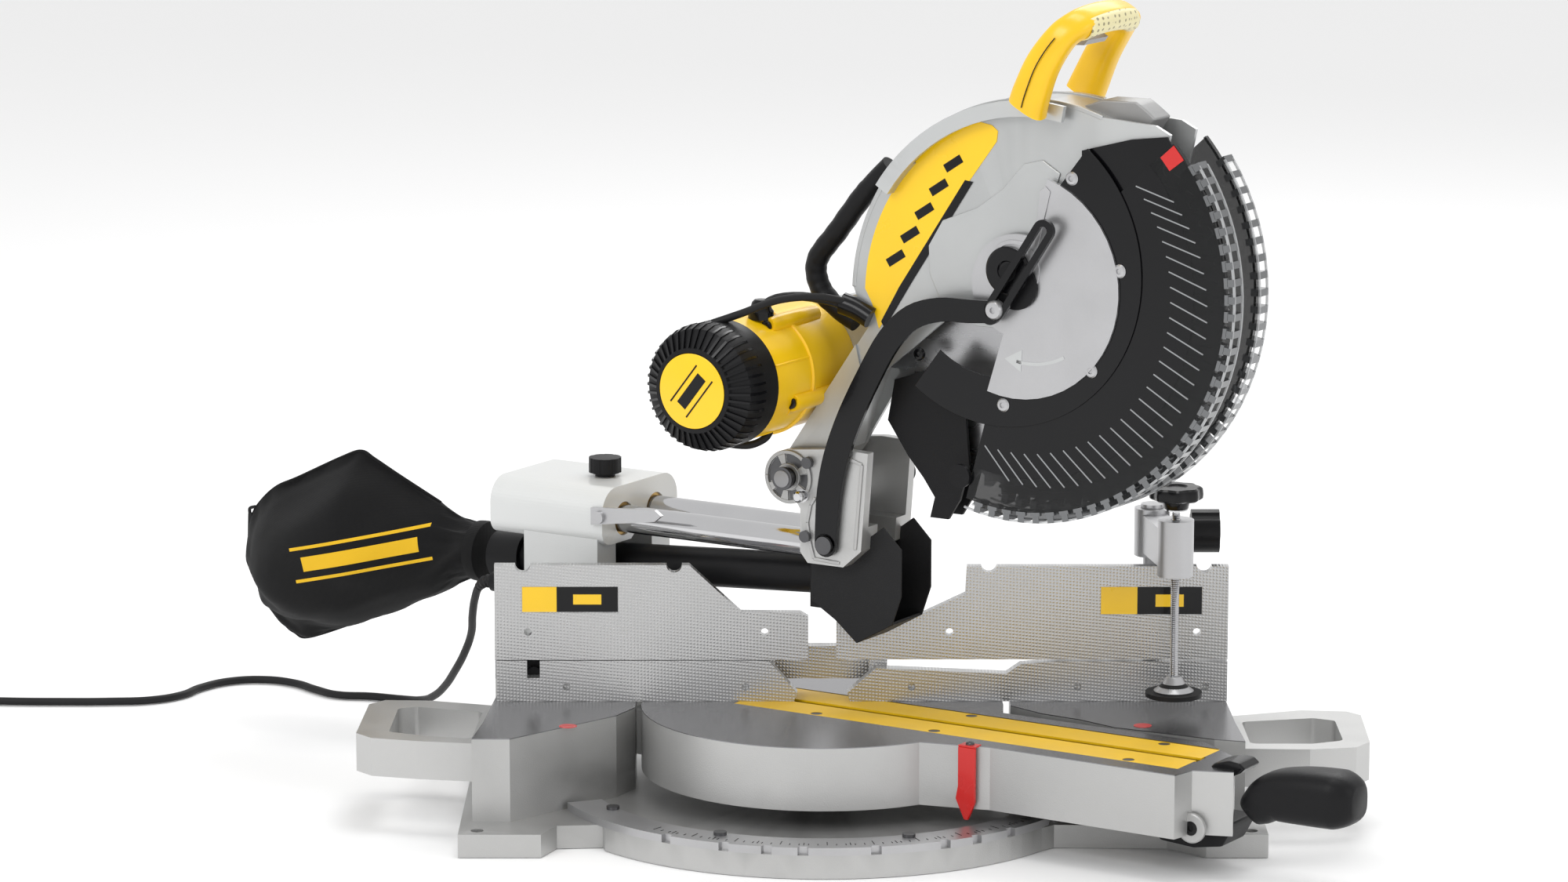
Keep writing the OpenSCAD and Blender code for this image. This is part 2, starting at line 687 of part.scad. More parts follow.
module saw_blade() color("#b8b8b8") arm_frame() translate([0, arbor[1], arbor[2]])
  rotate([90, 0, 90]) translate([0, 0, -blade_t / 2]) difference() {
    union() {
      cylinder(h = blade_t, r = blade_r - 8);
      linear_extrude(blade_t) polygon([for (i = [0:teeth - 1]) let (a = 360 * i / teeth)
        each [(blade_r - 9) * [cos(a), sin(a)], (blade_r - 2) * [cos(a + 1.2), sin(a + 1.2)],
          blade_r * [cos(a + 3.6), sin(a + 3.6)], (blade_r - 7.5) * [cos(a + 4.6), sin(a + 4.6)]]]);
    }
    translate([0, 0, -1]) cylinder(h = 6, r = 8.05);
  }

module blade_flanges() color("dimgray") arm_frame() {
  bar_x(-1.1, 50, arbor, 8);
  bar_x(1.1, 7, arbor, 24);
  bar_x(-6, -1.1, arbor, 24);
  bar_x(-14, -6, arbor, 9);
  bar_x(36, 50, arbor, 20);
}

module spindle_lock() color("#181818") arm_frame() bar_x(52, 64, [0, -120, 392], 5);

guard_lo = -105;
guard_hi = 42;

module lower_guard() color("#55585c") arm_frame() {
  // left wall with its pivot bore
  side(-27, -24.5) difference() {
    union() {
      pie(guard_c, 172, guard_lo, guard_hi);
      translate([guard_c[1], guard_c[2]]) circle(r = 38);
    }
    translate([guard_c[1], guard_c[2]]) circle(r = 12);
  }
  // right wall, open round the drive
  side(24.5, 27) difference() {
    pie(guard_c, 172, guard_lo, guard_hi);
    translate([guard_c[1], guard_c[2]]) circle(r = 60);
  }
  // rim
  side(-27, 27) difference() {
    pie(guard_c, guard_r, guard_lo, guard_hi);
    pie(guard_c, 172, guard_lo - 3, guard_hi + 3);
    translate([guard_c[1], guard_c[2]]) circle(r = 176);
  }
  side(-27, -24.5) ring_sector(172, 177);
  side(24.5, 27) ring_sector(172, 177);
}

module ring_sector(r0, r1) {
  polygon(concat(head_arc(guard_c, r0 - 0.5, guard_lo, guard_hi, 36),
    head_arc(guard_c, r1, guard_hi, guard_lo, 36)));
}

module guard_plate() color("lightgray") arm_frame() side(-30.3, -27.2) difference() {
  union() {
    pie(guard_c, 86, -107, 73);
    translate([guard_c[1], guard_c[2]]) circle(r = 39);
  }
  translate([guard_c[1], guard_c[2]]) circle(r = 12);
}

roller_c = [0, -189 + 158 * cos(72), 435 - 158 * sin(72)];

module guard_roller() color("#e0e0e0") arm_frame() {
  bar_x(-31, -27.2, roller_c, 9);
}

base_casting();
side_handle_left();
side_handle_right();
detent_plate();
base_screws();
fixed_fence();
upper_fence_left();
upper_fence_right();
fence_knob_left();
fence_knob_right();
clamp_post();
clamp_arm();
clamp_screw();
clamp_foot();
clamp_lock_knob();
pivot_bolt();
turntable();
kerf_plate_left();
kerf_plate_right();
kerf_screws();
miter_pointer();
miter_lock_lever();
detent_override();
cord_gland();
power_cord();
cord_coil();
power_plug();
bevel_bolt();
rail_housing();
rail_bushings();
rail_lock_knob();
slide_stop_lever();
bevel_lock_lever();
slide_rails();
pivot_bracket();
dust_duct();
dust_chute();
dust_bag();
bracket_screws();
hub_pin();
head_lock_pin();
guard_link();
upper_guard();
dust_deflector();
guard_pivot_cap();
handle_shell_left();
handle_shell_right();
power_trigger();
carry_handle();
motor_housing();
motor_end_cap();
motor_rotor();
motor_cables();
belt_cover();
saw_blade();
blade_flanges();
spindle_lock();
lower_guard();
guard_plate();
guard_roller();
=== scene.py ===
"""Looks of the sliding miter saw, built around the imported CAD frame."""
import math

import bmesh
import bpy
from mathutils import Matrix, Vector, noise


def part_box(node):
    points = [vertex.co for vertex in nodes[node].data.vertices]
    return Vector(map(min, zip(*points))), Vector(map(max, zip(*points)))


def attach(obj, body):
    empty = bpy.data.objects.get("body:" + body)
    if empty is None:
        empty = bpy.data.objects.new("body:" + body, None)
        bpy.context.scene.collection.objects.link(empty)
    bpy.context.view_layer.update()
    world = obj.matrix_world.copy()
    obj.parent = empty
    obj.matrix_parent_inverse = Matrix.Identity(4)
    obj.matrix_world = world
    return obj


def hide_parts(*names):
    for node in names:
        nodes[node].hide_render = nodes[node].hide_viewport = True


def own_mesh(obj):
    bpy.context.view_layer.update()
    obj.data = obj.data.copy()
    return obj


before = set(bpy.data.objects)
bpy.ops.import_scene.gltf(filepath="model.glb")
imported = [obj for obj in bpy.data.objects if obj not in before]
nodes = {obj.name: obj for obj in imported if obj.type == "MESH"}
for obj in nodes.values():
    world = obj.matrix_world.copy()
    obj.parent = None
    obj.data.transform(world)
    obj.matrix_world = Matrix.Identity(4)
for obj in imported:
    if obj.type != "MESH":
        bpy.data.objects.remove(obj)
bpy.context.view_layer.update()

MM = 0.001
PIVOT_X = -0.031
REST_MITER = math.radians(58)
ARM = (Matrix.Translation((PIVOT_X, 0, 0)) @ Matrix.Rotation(REST_MITER, 4, "Z")
       @ Matrix.Scale(MM, 4))
BASE = Matrix.Translation((PIVOT_X, 0, 0)) @ Matrix.Scale(MM, 4)

ARBOR = Vector((0, -201, 415))
GUARD = Vector((0, -189, 435))
HUB = Vector((0, 8, 270))
MOTOR = Vector((0, 35, 349))
GUARD_LO, GUARD_HI = -105, 42


# ---------- camera, floor and light ----------

def add_camera():
    """The camera fitted to the photo."""
    data = bpy.data.cameras.new("camera")
    data.lens = 125.7
    data.sensor_width = 36
    data.clip_end = 50
    cam = bpy.data.objects.new("camera", data)
    cam.location = (-0.0609, -4.165, 1.0922)
    cam.rotation_euler = (math.radians(79.135), 0, 0)
    bpy.context.scene.collection.objects.link(cam)
    bpy.context.scene.camera = cam


def add_area(name, location, size, power, target=(0, 0, 0.25)):
    """One soft area light aimed at a point."""
    data = bpy.data.lights.new(name, "AREA")
    data.size = size
    data.energy = power
    lamp = bpy.data.objects.new(name, data)
    lamp.location = location
    aim = Vector(target) - Vector(location)
    lamp.rotation_euler = aim.to_track_quat("-Z", "Y").to_euler()
    bpy.context.scene.collection.objects.link(lamp)


def add_studio():
    """White floor and wall, the lights and the view transform."""
    bpy.ops.mesh.primitive_plane_add(size=30, location=(0, 0, -0.0005))
    floor = bpy.context.object
    floor.name = "floor"
    floor.data.materials.append(plain("studio_floor", (0.97, 0.97, 0.97), 0.9))
    world = bpy.data.worlds.new("studio")
    world.use_nodes = True
    back = world.node_tree.nodes["Background"]
    back.inputs["Color"].default_value = (1, 1, 1, 1)
    back.inputs["Strength"].default_value = 0.86
    bpy.context.scene.world = world
    bpy.context.scene.view_settings.view_transform = "Standard"
    add_area("key", (-1.9, -2.4, 2.2), 1.3, 30)
    add_area("fill", (2.4, -1.8, 1.2), 1.2, 7)
    add_area("rim", (0.8, 2.2, 2.4), 1.4, 24)
    add_area("top", (0.2, -0.1, 2.8), 1.0, 13)


# ---------- materials ----------

def plain(name, color, rough, metal=0.0):
    """A single-colour material."""
    m = bpy.data.materials.new(name)
    m.use_nodes = True
    p = m.node_tree.nodes["Principled BSDF"]
    p.inputs["Base Color"].default_value = (*color, 1)
    p.inputs["Roughness"].default_value = rough
    p.inputs["Metallic"].default_value = metal
    if max(color) < 0.02:
        p.inputs["Specular IOR Level"].default_value = 0.22
    return m


def textured(name, color, rough, metal=0.0, vary=0.12, grain=900, bump=0.12, wear=0.0,
             rough_vary=0.12, coat=0.0, sheen=0.0, alpha=None, stretch=(1, 1, 1)):
    """Principled material with colour and roughness variation and a fine grain bump."""
    m = plain(name, color, rough, metal)
    t = m.node_tree
    p = t.nodes["Principled BSDF"]
    link = t.links.new
    coord = t.nodes.new("ShaderNodeTexCoord")
    mapping = t.nodes.new("ShaderNodeMapping")
    mapping.inputs["Scale"].default_value = stretch
    link(coord.outputs["Object"], mapping.inputs["Vector"])
    cloud = t.nodes.new("ShaderNodeTexNoise")
    cloud.inputs["Scale"].default_value = 24
    cloud.inputs["Detail"].default_value = 5
    fine = t.nodes.new("ShaderNodeTexNoise")
    fine.inputs["Scale"].default_value = grain
    fine.inputs["Detail"].default_value = 3
    for n in (cloud, fine):
        link(mapping.outputs["Vector"], n.inputs["Vector"])
    ramp = t.nodes.new("ShaderNodeValToRGB")
    ramp.color_ramp.elements[0].position = 0.3
    ramp.color_ramp.elements[1].position = 0.72
    ramp.color_ramp.elements[0].color = (*[c * (1 - vary) for c in color], 1)
    ramp.color_ramp.elements[1].color = (*[min(1, c * (1 + vary * 0.6)) for c in color], 1)
    link(cloud.outputs["Fac"], ramp.inputs["Fac"])
    speck = t.nodes.new("ShaderNodeMixRGB")
    speck.blend_type = "MULTIPLY"
    speck.inputs["Fac"].default_value = vary
    link(ramp.outputs["Color"], speck.inputs["Color1"])
    link(fine.outputs["Fac"], speck.inputs["Color2"])
    out = speck.outputs["Color"]
    if wear:
        geo = t.nodes.new("ShaderNodeNewGeometry")
        edge = t.nodes.new("ShaderNodeValToRGB")
        edge.color_ramp.elements[0].position = 0.52
        edge.color_ramp.elements[1].position = 0.62
        link(geo.outputs["Pointiness"], edge.inputs["Fac"])
        light = t.nodes.new("ShaderNodeMixRGB")
        light.inputs["Color2"].default_value = (*[min(1, c * (1 + wear)) for c in color], 1)
        link(edge.outputs["Color"], light.inputs["Fac"])
        link(out, light.inputs["Color1"])
        out = light.outputs["Color"]
    link(out, p.inputs["Base Color"])
    spread = t.nodes.new("ShaderNodeMapRange")
    spread.inputs["To Min"].default_value = max(0.03, rough - rough_vary)
    spread.inputs["To Max"].default_value = min(1, rough + rough_vary)
    link(cloud.outputs["Fac"], spread.inputs["Value"])
    link(spread.outputs["Result"], p.inputs["Roughness"])
    b = t.nodes.new("ShaderNodeBump")
    b.inputs["Strength"].default_value = bump
    b.inputs["Distance"].default_value = 0.0004
    link(fine.outputs["Fac"], b.inputs["Height"])
    link(b.outputs["Normal"], p.inputs["Normal"])
    p.inputs["Coat Weight"].default_value = coat
    p.inputs["Sheen Weight"].default_value = sheen
    if alpha is not None:
        p.inputs["Alpha"].default_value = alpha
    return m


def knurled(name, color, rough, metal, pitch, depth=0.35, angle=0.0):
    """Milled metal: crossed fine waves over the textured base."""
    m = textured(name, color, rough, metal, vary=0.06, grain=1500, bump=0.05)
    t = m.node_tree
    p = t.nodes["Principled BSDF"]
    link = t.links.new
    coord = t.nodes.new("ShaderNodeTexCoord")
    total = None
    for turn in (angle, angle + math.radians(84)):
        mapping = t.nodes.new("ShaderNodeMapping")
        mapping.inputs["Rotation"].default_value = (0, turn, 0)
        link(coord.outputs["Object"], mapping.inputs["Vector"])
        wave = t.nodes.new("ShaderNodeTexWave")
        wave.inputs["Scale"].default_value = math.pi / 10 / pitch
        wave.inputs["Distortion"].default_value = 0.0
        wave.bands_direction = "X"
        link(mapping.outputs["Vector"], wave.inputs["Vector"])
        if total is None:
            total = wave.outputs["Fac"]
        else:
            add = t.nodes.new("ShaderNodeMath")
            add.operation = "MULTIPLY"
            link(total, add.inputs[0])
            link(wave.outputs["Fac"], add.inputs[1])
            total = add.outputs["Value"]
    b = t.nodes.new("ShaderNodeBump")
    b.inputs["Strength"].default_value = depth
    b.inputs["Distance"].default_value = 0.0005
    link(total, b.inputs["Height"])
    link(b.outputs["Normal"], p.inputs["Normal"])
    tone = t.nodes.new("ShaderNodeMixRGB")
    tone.blend_type = "MULTIPLY"
    tone.inputs["Fac"].default_value = 0.22
    tone.inputs["Color1"].default_value = (*color, 1)
    link(total, tone.inputs["Color2"])
    link(tone.outputs["Color"], p.inputs["Base Color"])
    return m


def smoked_plastic():
    """Dark see-through polycarbonate of the guard."""
    return textured("smoked_polycarbonate", (0.006, 0.0065, 0.007), 0.1, vary=0.05, grain=60,
                    bump=0.01, rough_vary=0.04, coat=0.2, alpha=0.74)


def woven(name, color):
    """Cloth with two crossed thread waves."""
    m = textured(name, color, 0.8, vary=0.25, grain=500, bump=0.25, sheen=0.06)
    t = m.node_tree
    p = t.nodes["Principled BSDF"]
    link = t.links.new
    coord = t.nodes.new("ShaderNodeTexCoord")
    total = None
    for axis in ("X", "Z"):
        wave = t.nodes.new("ShaderNodeTexWave")
        wave.inputs["Scale"].default_value = 420
        wave.inputs["Distortion"].default_value = 0.8
        wave.bands_direction = axis
        link(coord.outputs["Object"], wave.inputs["Vector"])
        if total is None:
            total = wave.outputs["Fac"]
        else:
            add = t.nodes.new("ShaderNodeMath")
            add.operation = "ADD"
            link(total, add.inputs[0])
            link(wave.outputs["Fac"], add.inputs[1])
            total = add.outputs["Value"]
    b = t.nodes.new("ShaderNodeBump")
    b.inputs["Strength"].default_value = 0.3
    b.inputs["Distance"].default_value = 0.0004
    link(total, b.inputs["Height"])
    link(b.outputs["Normal"], p.inputs["Normal"])
    return m

def dotted(name, color):
    """Moulded dots over a pale soft grip."""
    m = textured(name, color, 0.5, vary=0.05, grain=900, bump=0.1)
    t = m.node_tree
    shader = t.nodes["Principled BSDF"]
    coord = t.nodes.new("ShaderNodeTexCoord")
    cells = t.nodes.new("ShaderNodeTexVoronoi")
    cells.inputs["Scale"].default_value = 230
    cells.inputs["Randomness"].default_value = 0.0
    t.links.new(coord.outputs["Object"], cells.inputs["Vector"])
    ramp = t.nodes.new("ShaderNodeValToRGB")
    ramp.color_ramp.elements[0].position = 0.26
    ramp.color_ramp.elements[1].position = 0.34
    ramp.color_ramp.elements[0].color = (0.30, 0.27, 0.16, 1)
    ramp.color_ramp.elements[1].color = (*color, 1)
    t.links.new(cells.outputs["Distance"], ramp.inputs["Fac"])
    t.links.new(ramp.outputs["Color"], shader.inputs["Base Color"])
    dent = t.nodes.new("ShaderNodeBump")
    dent.inputs["Strength"].default_value = 0.4
    dent.inputs["Distance"].default_value = 0.0006
    t.links.new(cells.outputs["Distance"], dent.inputs["Height"])
    t.links.new(dent.outputs["Normal"], shader.inputs["Normal"])
    return m

def ground_top(m, height):
    """Machines the upward faces above a height: darker, smoother metal with a faint grain."""
    t = m.node_tree
    shader = t.nodes["Principled BSDF"]
    link = t.links.new
    coord = t.nodes.new("ShaderNodeTexCoord")
    split = t.nodes.new("ShaderNodeSeparateXYZ")
    link(coord.outputs["Object"], split.inputs["Vector"])
    high = t.nodes.new("ShaderNodeMath")
    high.operation = "GREATER_THAN"
    high.inputs[1].default_value = height
    link(split.outputs["Z"], high.inputs[0])
    for socket, value in (("Base Color", (0.27, 0.27, 0.28, 1)), ("Roughness", (0.16,) * 3 + (1,)),
                          ("Metallic", (0.95,) * 3 + (1,))):
        mix = t.nodes.new("ShaderNodeMixRGB")
        link(high.outputs["Value"], mix.inputs["Fac"])
        before = shader.inputs[socket]
        if before.is_linked:
            link(before.links[0].from_socket, mix.inputs["Color1"])
        else:
            mix.inputs["Color1"].default_value = (before.default_value,) * 3 + (1,)
        mix.inputs["Color2"].default_value = value
        link(mix.outputs["Color"], before)
    return m


def printed_band(m, color):
    """Plain yellow print on the bag's sides: a bar between two thin lines."""
    t = m.node_tree
    shader = t.nodes["Principled BSDF"]
    link = t.links.new
    coord = t.nodes.new("ShaderNodeTexCoord")
    rearward = (ARM.to_3x3() @ Vector((0, 1, 0))).normalized()
    slope = math.radians(13.7)
    along = rearward * math.cos(slope) - Vector((0, 0, math.sin(slope)))
    across = rearward * math.sin(slope) + Vector((0, 0, math.cos(slope)))
    place = t.nodes.new("ShaderNodeVectorMath")
    place.operation = "SUBTRACT"
    place.inputs[1].default_value = ARM.translation
    link(coord.outputs["Object"], place.inputs[0])

    def math_node(operation, a, b):
        node = t.nodes.new("ShaderNodeMath")
        node.operation = operation
        for socket, value in zip(node.inputs, (a, b)):
            if isinstance(value, float):
                socket.default_value = value
            else:
                link(value, socket)
        return node.outputs["Value"]

    def measure(direction):
        dot = t.nodes.new("ShaderNodeVectorMath")
        dot.operation = "DOT_PRODUCT"
        dot.inputs[1].default_value = direction
        link(place.outputs["Vector"], dot.inputs[0])
        return dot.outputs["Value"]

    def within(value, low, high):
        return math_node("MULTIPLY", math_node("GREATER_THAN", value, low),
                         math_node("LESS_THAN", value, high))

    u, v = measure(along), measure(across)
    lines = math_node("ADD", within(v, 0.242, 0.2447), within(v, 0.2687, 0.2714))
    lines = math_node("MULTIPLY", lines, within(u, 0.308, 0.434))
    bar = math_node("MULTIPLY", within(v, 0.2505, 0.2625), within(u, 0.318, 0.424))
    mask = math_node("ADD", lines, bar)
    mix = t.nodes.new("ShaderNodeMixRGB")
    link(mask, mix.inputs["Fac"])
    link(shader.inputs["Base Color"].links[0].from_socket, mix.inputs["Color1"])
    mix.inputs["Color2"].default_value = (*color, 1)
    link(mix.outputs["Color"], shader.inputs["Base Color"])
    return m


CAST = textured("cast_aluminium", (0.42, 0.42, 0.415), 0.38, 0.72, vary=0.1, grain=1100, bump=0.35,
                wear=0.25)
TABLE_CAST = ground_top(textured("machined_casting", (0.42, 0.42, 0.415), 0.38, 0.72, vary=0.1, grain=1100,
                                 bump=0.35, wear=0.25), 0.0826)
FENCE = knurled("milled_fence", (0.60, 0.60, 0.60), 0.28, 0.8, 0.0026, depth=0.5)
PAINTED = textured("white_paint", (0.62, 0.63, 0.625), 0.35, 0.15, vary=0.05, grain=1300, bump=0.3,
                   coat=0.25, wear=0.1)
HEAD_PAINT = textured("silver_paint", (0.47, 0.48, 0.48), 0.36, 0.6, vary=0.05, grain=1500,
                      bump=0.15, coat=0.2, wear=0.15)
ZINC = textured("zinc_plate", (0.50, 0.50, 0.51), 0.34, 0.8, vary=0.06, grain=900, bump=0.1)
CHROME = textured("chrome", (0.58, 0.58, 0.59), 0.09, 1.0, vary=0.03, grain=600, bump=0.01,
                  rough_vary=0.03)
# Dark steel for screws, bolts and flanges; the same colour also paints shade on the floors of the bracket
# hub's pockets.
DARK_STEEL_AND_SHADE = textured("dark_steel_and_painted_shade", (0.12, 0.12, 0.125), 0.35, 0.85, vary=0.15, grain=900, bump=0.1)
BLADE = textured("blade_steel", (0.45, 0.45, 0.46), 0.28, 0.95, vary=0.1, grain=500, bump=0.06,
                 stretch=(1, 0.2, 4))
BLACK = textured("black_plastic", (0.006, 0.006, 0.007), 0.42, vary=0.2, grain=1600, bump=0.3)
GLOSS_BLACK = textured("black_gloss", (0.004, 0.004, 0.005), 0.22, vary=0.2, grain=900, bump=0.08,
                       coat=0.12)
YELLOW = textured("yellow_plastic", (0.95, 0.56, 0.002), 0.34, vary=0.07, grain=1500, bump=0.2,
                  coat=0.15, wear=0.1)
KERF = textured("yellow_kerf", (0.95, 0.58, 0.004), 0.42, vary=0.08, grain=1200, bump=0.15)
RED = textured("red_plastic", (0.62, 0.008, 0.006), 0.3, vary=0.06, grain=1200, bump=0.1, coat=0.3)
GREY = textured("grey_plastic", (0.33, 0.33, 0.34), 0.4, vary=0.1, grain=1200, bump=0.15)
RUBBER = textured("cord_rubber", (0.016, 0.016, 0.017), 0.5, vary=0.25, grain=1400, bump=0.25)
BAG = woven("bag_cloth", (0.0045, 0.0045, 0.005))
BAG_PRINTED = printed_band(woven("bag_cloth_printed", (0.0045, 0.0045, 0.005)), (0.80, 0.48, 0.02))
BRONZE = textured("bronze", (0.50, 0.33, 0.12), 0.35, 0.9)
COPPER = textured("copper_winding", (0.52, 0.23, 0.10), 0.4, 0.9, grain=500, bump=0.5)
SMOKED = smoked_plastic()
CLEAR = textured("clear_rim", (0.55, 0.56, 0.57), 0.12, vary=0.05, grain=400, bump=0.04, coat=0.4,
                 alpha=0.55)
# Light grey of the guard's ribs: a painted highlight standing in for the light lines along the ribs.
RIB_PAINTED_HIGHLIGHT = textured("guard_rib_painted_highlight", (0.30, 0.31, 0.32), 0.3, vary=0.08, grain=900, bump=0.05, coat=0.3)
RUNG = textured("rim_rung_grey", (0.16, 0.165, 0.17), 0.12, 0.75, vary=0.1, grain=700, bump=0.04, coat=0.5)
GREY_CAST = textured("nose_cast_grey", (0.30, 0.30, 0.30), 0.45, 0.5, vary=0.1, grain=1200, bump=0.25,
                     wear=0.2)
DECAL_YELLOW = textured("decal_yellow", (0.97, 0.60, 0.002), 0.3, vary=0.03, grain=1500, bump=0.04, coat=0.3)
DOTS = dotted("dotted_grip", (0.80, 0.73, 0.42))


def dress(material, names, bevel=0.0, angle=35):
    """Gives CAD nodes a material and, if asked, rounded edges."""
    for name in names.split():
        obj = nodes[name]
        obj.data.materials.clear()
        obj.data.materials.append(material)
        if bevel:
            round_edges(obj, bevel, angle)


def round_edges(obj, width, angle=35, segments=2):
    """Bevel modifier on the sharp edges; width in mm."""
    mod = obj.modifiers.new("bevel", "BEVEL")
    mod.width = width * MM
    mod.segments = segments
    mod.limit_method = "ANGLE"
    mod.angle_limit = math.radians(angle)
    mod.harden_normals = True
    mod.use_clamp_overlap = True


def dress_cad():
    """Materials and edge rounding for the CAD nodes that stay in view."""
    dress(TABLE_CAST, "base_casting turntable", 1.2)
    dress(CAST, "side_handle_left side_handle_right pivot_bracket", 1.2)
    dress(FENCE, "fixed_fence upper_fence_left upper_fence_right", 0.5)
    dress(HEAD_PAINT, "upper_guard belt_cover", 1.0)
    dress(PAINTED, "rail_housing", 1.5)
    dress(ZINC, "detent_plate clamp_post slide_stop_lever", 0.4)
    dress(CHROME, "slide_rails clamp_screw")
    dress(DARK_STEEL_AND_SHADE, "base_screws pivot_bolt kerf_screws bevel_bolt bracket_screws hub_pin", 0.3)
    dress(DARK_STEEL_AND_SHADE, "blade_flanges")
    dress(BLADE, "saw_blade")
    dress(BLACK, "fence_knob_left fence_knob_right clamp_lock_knob rail_lock_knob", 1.0)
    dress(BLACK, "bevel_lock_lever head_lock_pin dust_duct dust_chute dust_deflector", 0.8)
    dress(BLACK, "miter_lock_lever detent_override guard_pivot_cap carry_handle spindle_lock")
    dress(BLACK, "motor_end_cap motor_cables cord_gland guard_roller")
    dress(BLACK, "guard_link", 0.8)
    dress(GREY, "power_trigger", 1.5)
    dress(YELLOW, "motor_housing handle_shell_left handle_shell_right", 1.5)
    dress(KERF, "kerf_plate_left kerf_plate_right", 0.4)
    dress(RED, "miter_pointer", 0.5)
    dress(ZINC, "guard_plate", 0.5)
    dress(ZINC, "clamp_arm", 1.2)
    dress(RUBBER, "clamp_foot", 0.8)
    dress(RUBBER, "power_cord cord_coil power_plug")
    dress(BRONZE, "rail_bushings")
    dress(COPPER, "motor_rotor")
    dress(BAG, "dust_bag")
    dress(SMOKED, "lower_guard")


# ---------- mesh helpers, in the arm frame's millimetres: x right, y rearwards, z up ----------

def build(name, parts, material, body, space=ARM, sharp=35, bevel=0.0):
    """One object from (verts, faces) parts, riding on a body."""
    verts, faces = [], []
    for part_verts, part_faces in parts:
        shift = len(verts)
        verts += [space @ Vector(v) for v in part_verts]
        faces += [[i + shift for i in f] for f in part_faces]
    mesh = bpy.data.meshes.new(name)
    mesh.from_pydata(verts, [], faces)
    mesh.validate()
    work = bmesh.new()
    work.from_mesh(mesh)
    bmesh.ops.recalc_face_normals(work, faces=work.faces)
    work.to_mesh(mesh)
    work.free()
    mesh.shade_smooth()
    mesh.set_sharp_from_angle(angle=math.radians(sharp))
    mesh.materials.append(material)
    obj = bpy.data.objects.new(name, mesh)
    bpy.context.scene.collection.objects.link(obj)
    if bevel:
        round_edges(obj, bevel)
    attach(obj, body)
    return obj


def prism(outline, x0, x1):
    """A (y, z) outline extruded along x."""
    n = len(outline)
    verts = [(x, y, z) for x in (x0, x1) for y, z in outline]
    faces = [list(range(n))[::-1], list(range(n, 2 * n))]
    faces += [[i, (i + 1) % n, n + (i + 1) % n, n + i] for i in range(n)]
    return verts, faces


def facing(angle):
    """Unit (y, z) direction: 0 degrees points forward, 90 up."""
    a = math.radians(angle)
    return Vector((-math.cos(a), math.sin(a)))


def arc(centre, radius, a0, a1, steps):
    """Points of an arc in the (y, z) plane, angles in degrees."""
    c = Vector((centre[1], centre[2]))
    return [tuple(c + radius * facing(a0 + (a1 - a0) * i / steps)) for i in range(steps + 1)]


def sector(centre, r0, r1, a0, a1, x0, x1, steps=48):
    """An annular sector, extruded along x."""
    inner = arc(centre, r0, a0, a1, steps)
    outer = arc(centre, r1, a0, a1, steps)
    verts = [(x, y, z) for x in (x0, x1) for ring in (inner, outer) for y, z in ring]
    n = steps + 1
    faces = []
    for i in range(steps):
        for a, b in ((0, n), (n, 3 * n), (3 * n, 2 * n), (2 * n, 0)):
            faces.append([a + i, a + i + 1, b + i + 1, b + i])
    for i in (0, steps):
        faces.append([i, n + i, 3 * n + i, 2 * n + i])
    return verts, faces


def lathe(profile, centre, axis="x", steps=40, turn=0.0):
    """(radius, height) pairs turned about an axis through centre."""
    basis = {"x": ((0, 1, 0), (0, 0, 1), (1, 0, 0)), "y": ((1, 0, 0), (0, 0, 1), (0, 1, 0)),
             "z": ((1, 0, 0), (0, 1, 0), (0, 0, 1))}[axis]
    u, v, w = (Vector(b) for b in basis)
    verts = []
    for radius, height in profile:
        for k in range(steps):
            a = 2 * math.pi * k / steps + turn
            verts.append(Vector(centre) + u * radius * math.cos(a) + v * radius * math.sin(a)
                         + w * height)
    faces = [[i * steps + k, i * steps + (k + 1) % steps, (i + 1) * steps + (k + 1) % steps,
              (i + 1) * steps + k] for i in range(len(profile) - 1) for k in range(steps)]
    faces.append(list(range(steps))[::-1])
    last = (len(profile) - 1) * steps
    faces.append(list(range(last, last + steps)))
    return verts, faces


def smooth_path(points, per=6):
    """Catmull-Rom points through a given route."""
    p = [Vector(q) for q in points]
    out = []
    for i in range(len(p) - 1):
        a, b, c, d = p[max(i - 1, 0)], p[i], p[i + 1], p[min(i + 2, len(p) - 1)]
        for k in range(per):
            t = k / per
            out.append(0.5 * (2 * b + (c - a) * t + (2 * a - 5 * b + 4 * c - d) * t * t
                              + (3 * b - a - 3 * c + d) * t ** 3))
    out.append(p[-1])
    return out


def sweep(points, radius, sides=16, section=None, side_hint=(0.05, 0.03, 1)):
    """A tube along points; radius may be a function of 0..1, section scales its two axes."""
    verts = []
    n = len(points)
    for i, p in enumerate(points):
        t = (points[min(i + 1, n - 1)] - points[max(i - 1, 0)]).normalized()
        u = t.cross(Vector(side_hint)).normalized()
        v = u.cross(t).normalized()
        r = radius(i / (n - 1)) if callable(radius) else radius
        for k in range(sides):
            a = 2 * math.pi * k / sides
            if section:
                power, su, sv = section
                c, s = math.cos(a), math.sin(a)
                m = (abs(c) ** power + abs(s) ** power) ** (-1 / power)
                verts.append(p + u * c * m * su * r + v * s * m * sv * r)
            else:
                verts.append(p + u * math.cos(a) * r + v * math.sin(a) * r)
    faces = [[i * sides + k, i * sides + (k + 1) % sides, (i + 1) * sides + (k + 1) % sides,
              (i + 1) * sides + k] for i in range(n - 1) for k in range(sides)]
    faces.append(list(range(sides))[::-1])
    faces.append(list(range((n - 1) * sides, n * sides)))
    return verts, faces


def block(lo, hi):
    """Box between two corners."""
    verts = [(x, y, z) for x in (lo[0], hi[0]) for y in (lo[1], hi[1]) for z in (lo[2], hi[2])]
    faces = [[0, 1, 3, 2], [4, 6, 7, 5], [0, 4, 5, 1], [2, 3, 7, 6], [0, 2, 6, 4], [1, 5, 7, 3]]
    return verts, faces


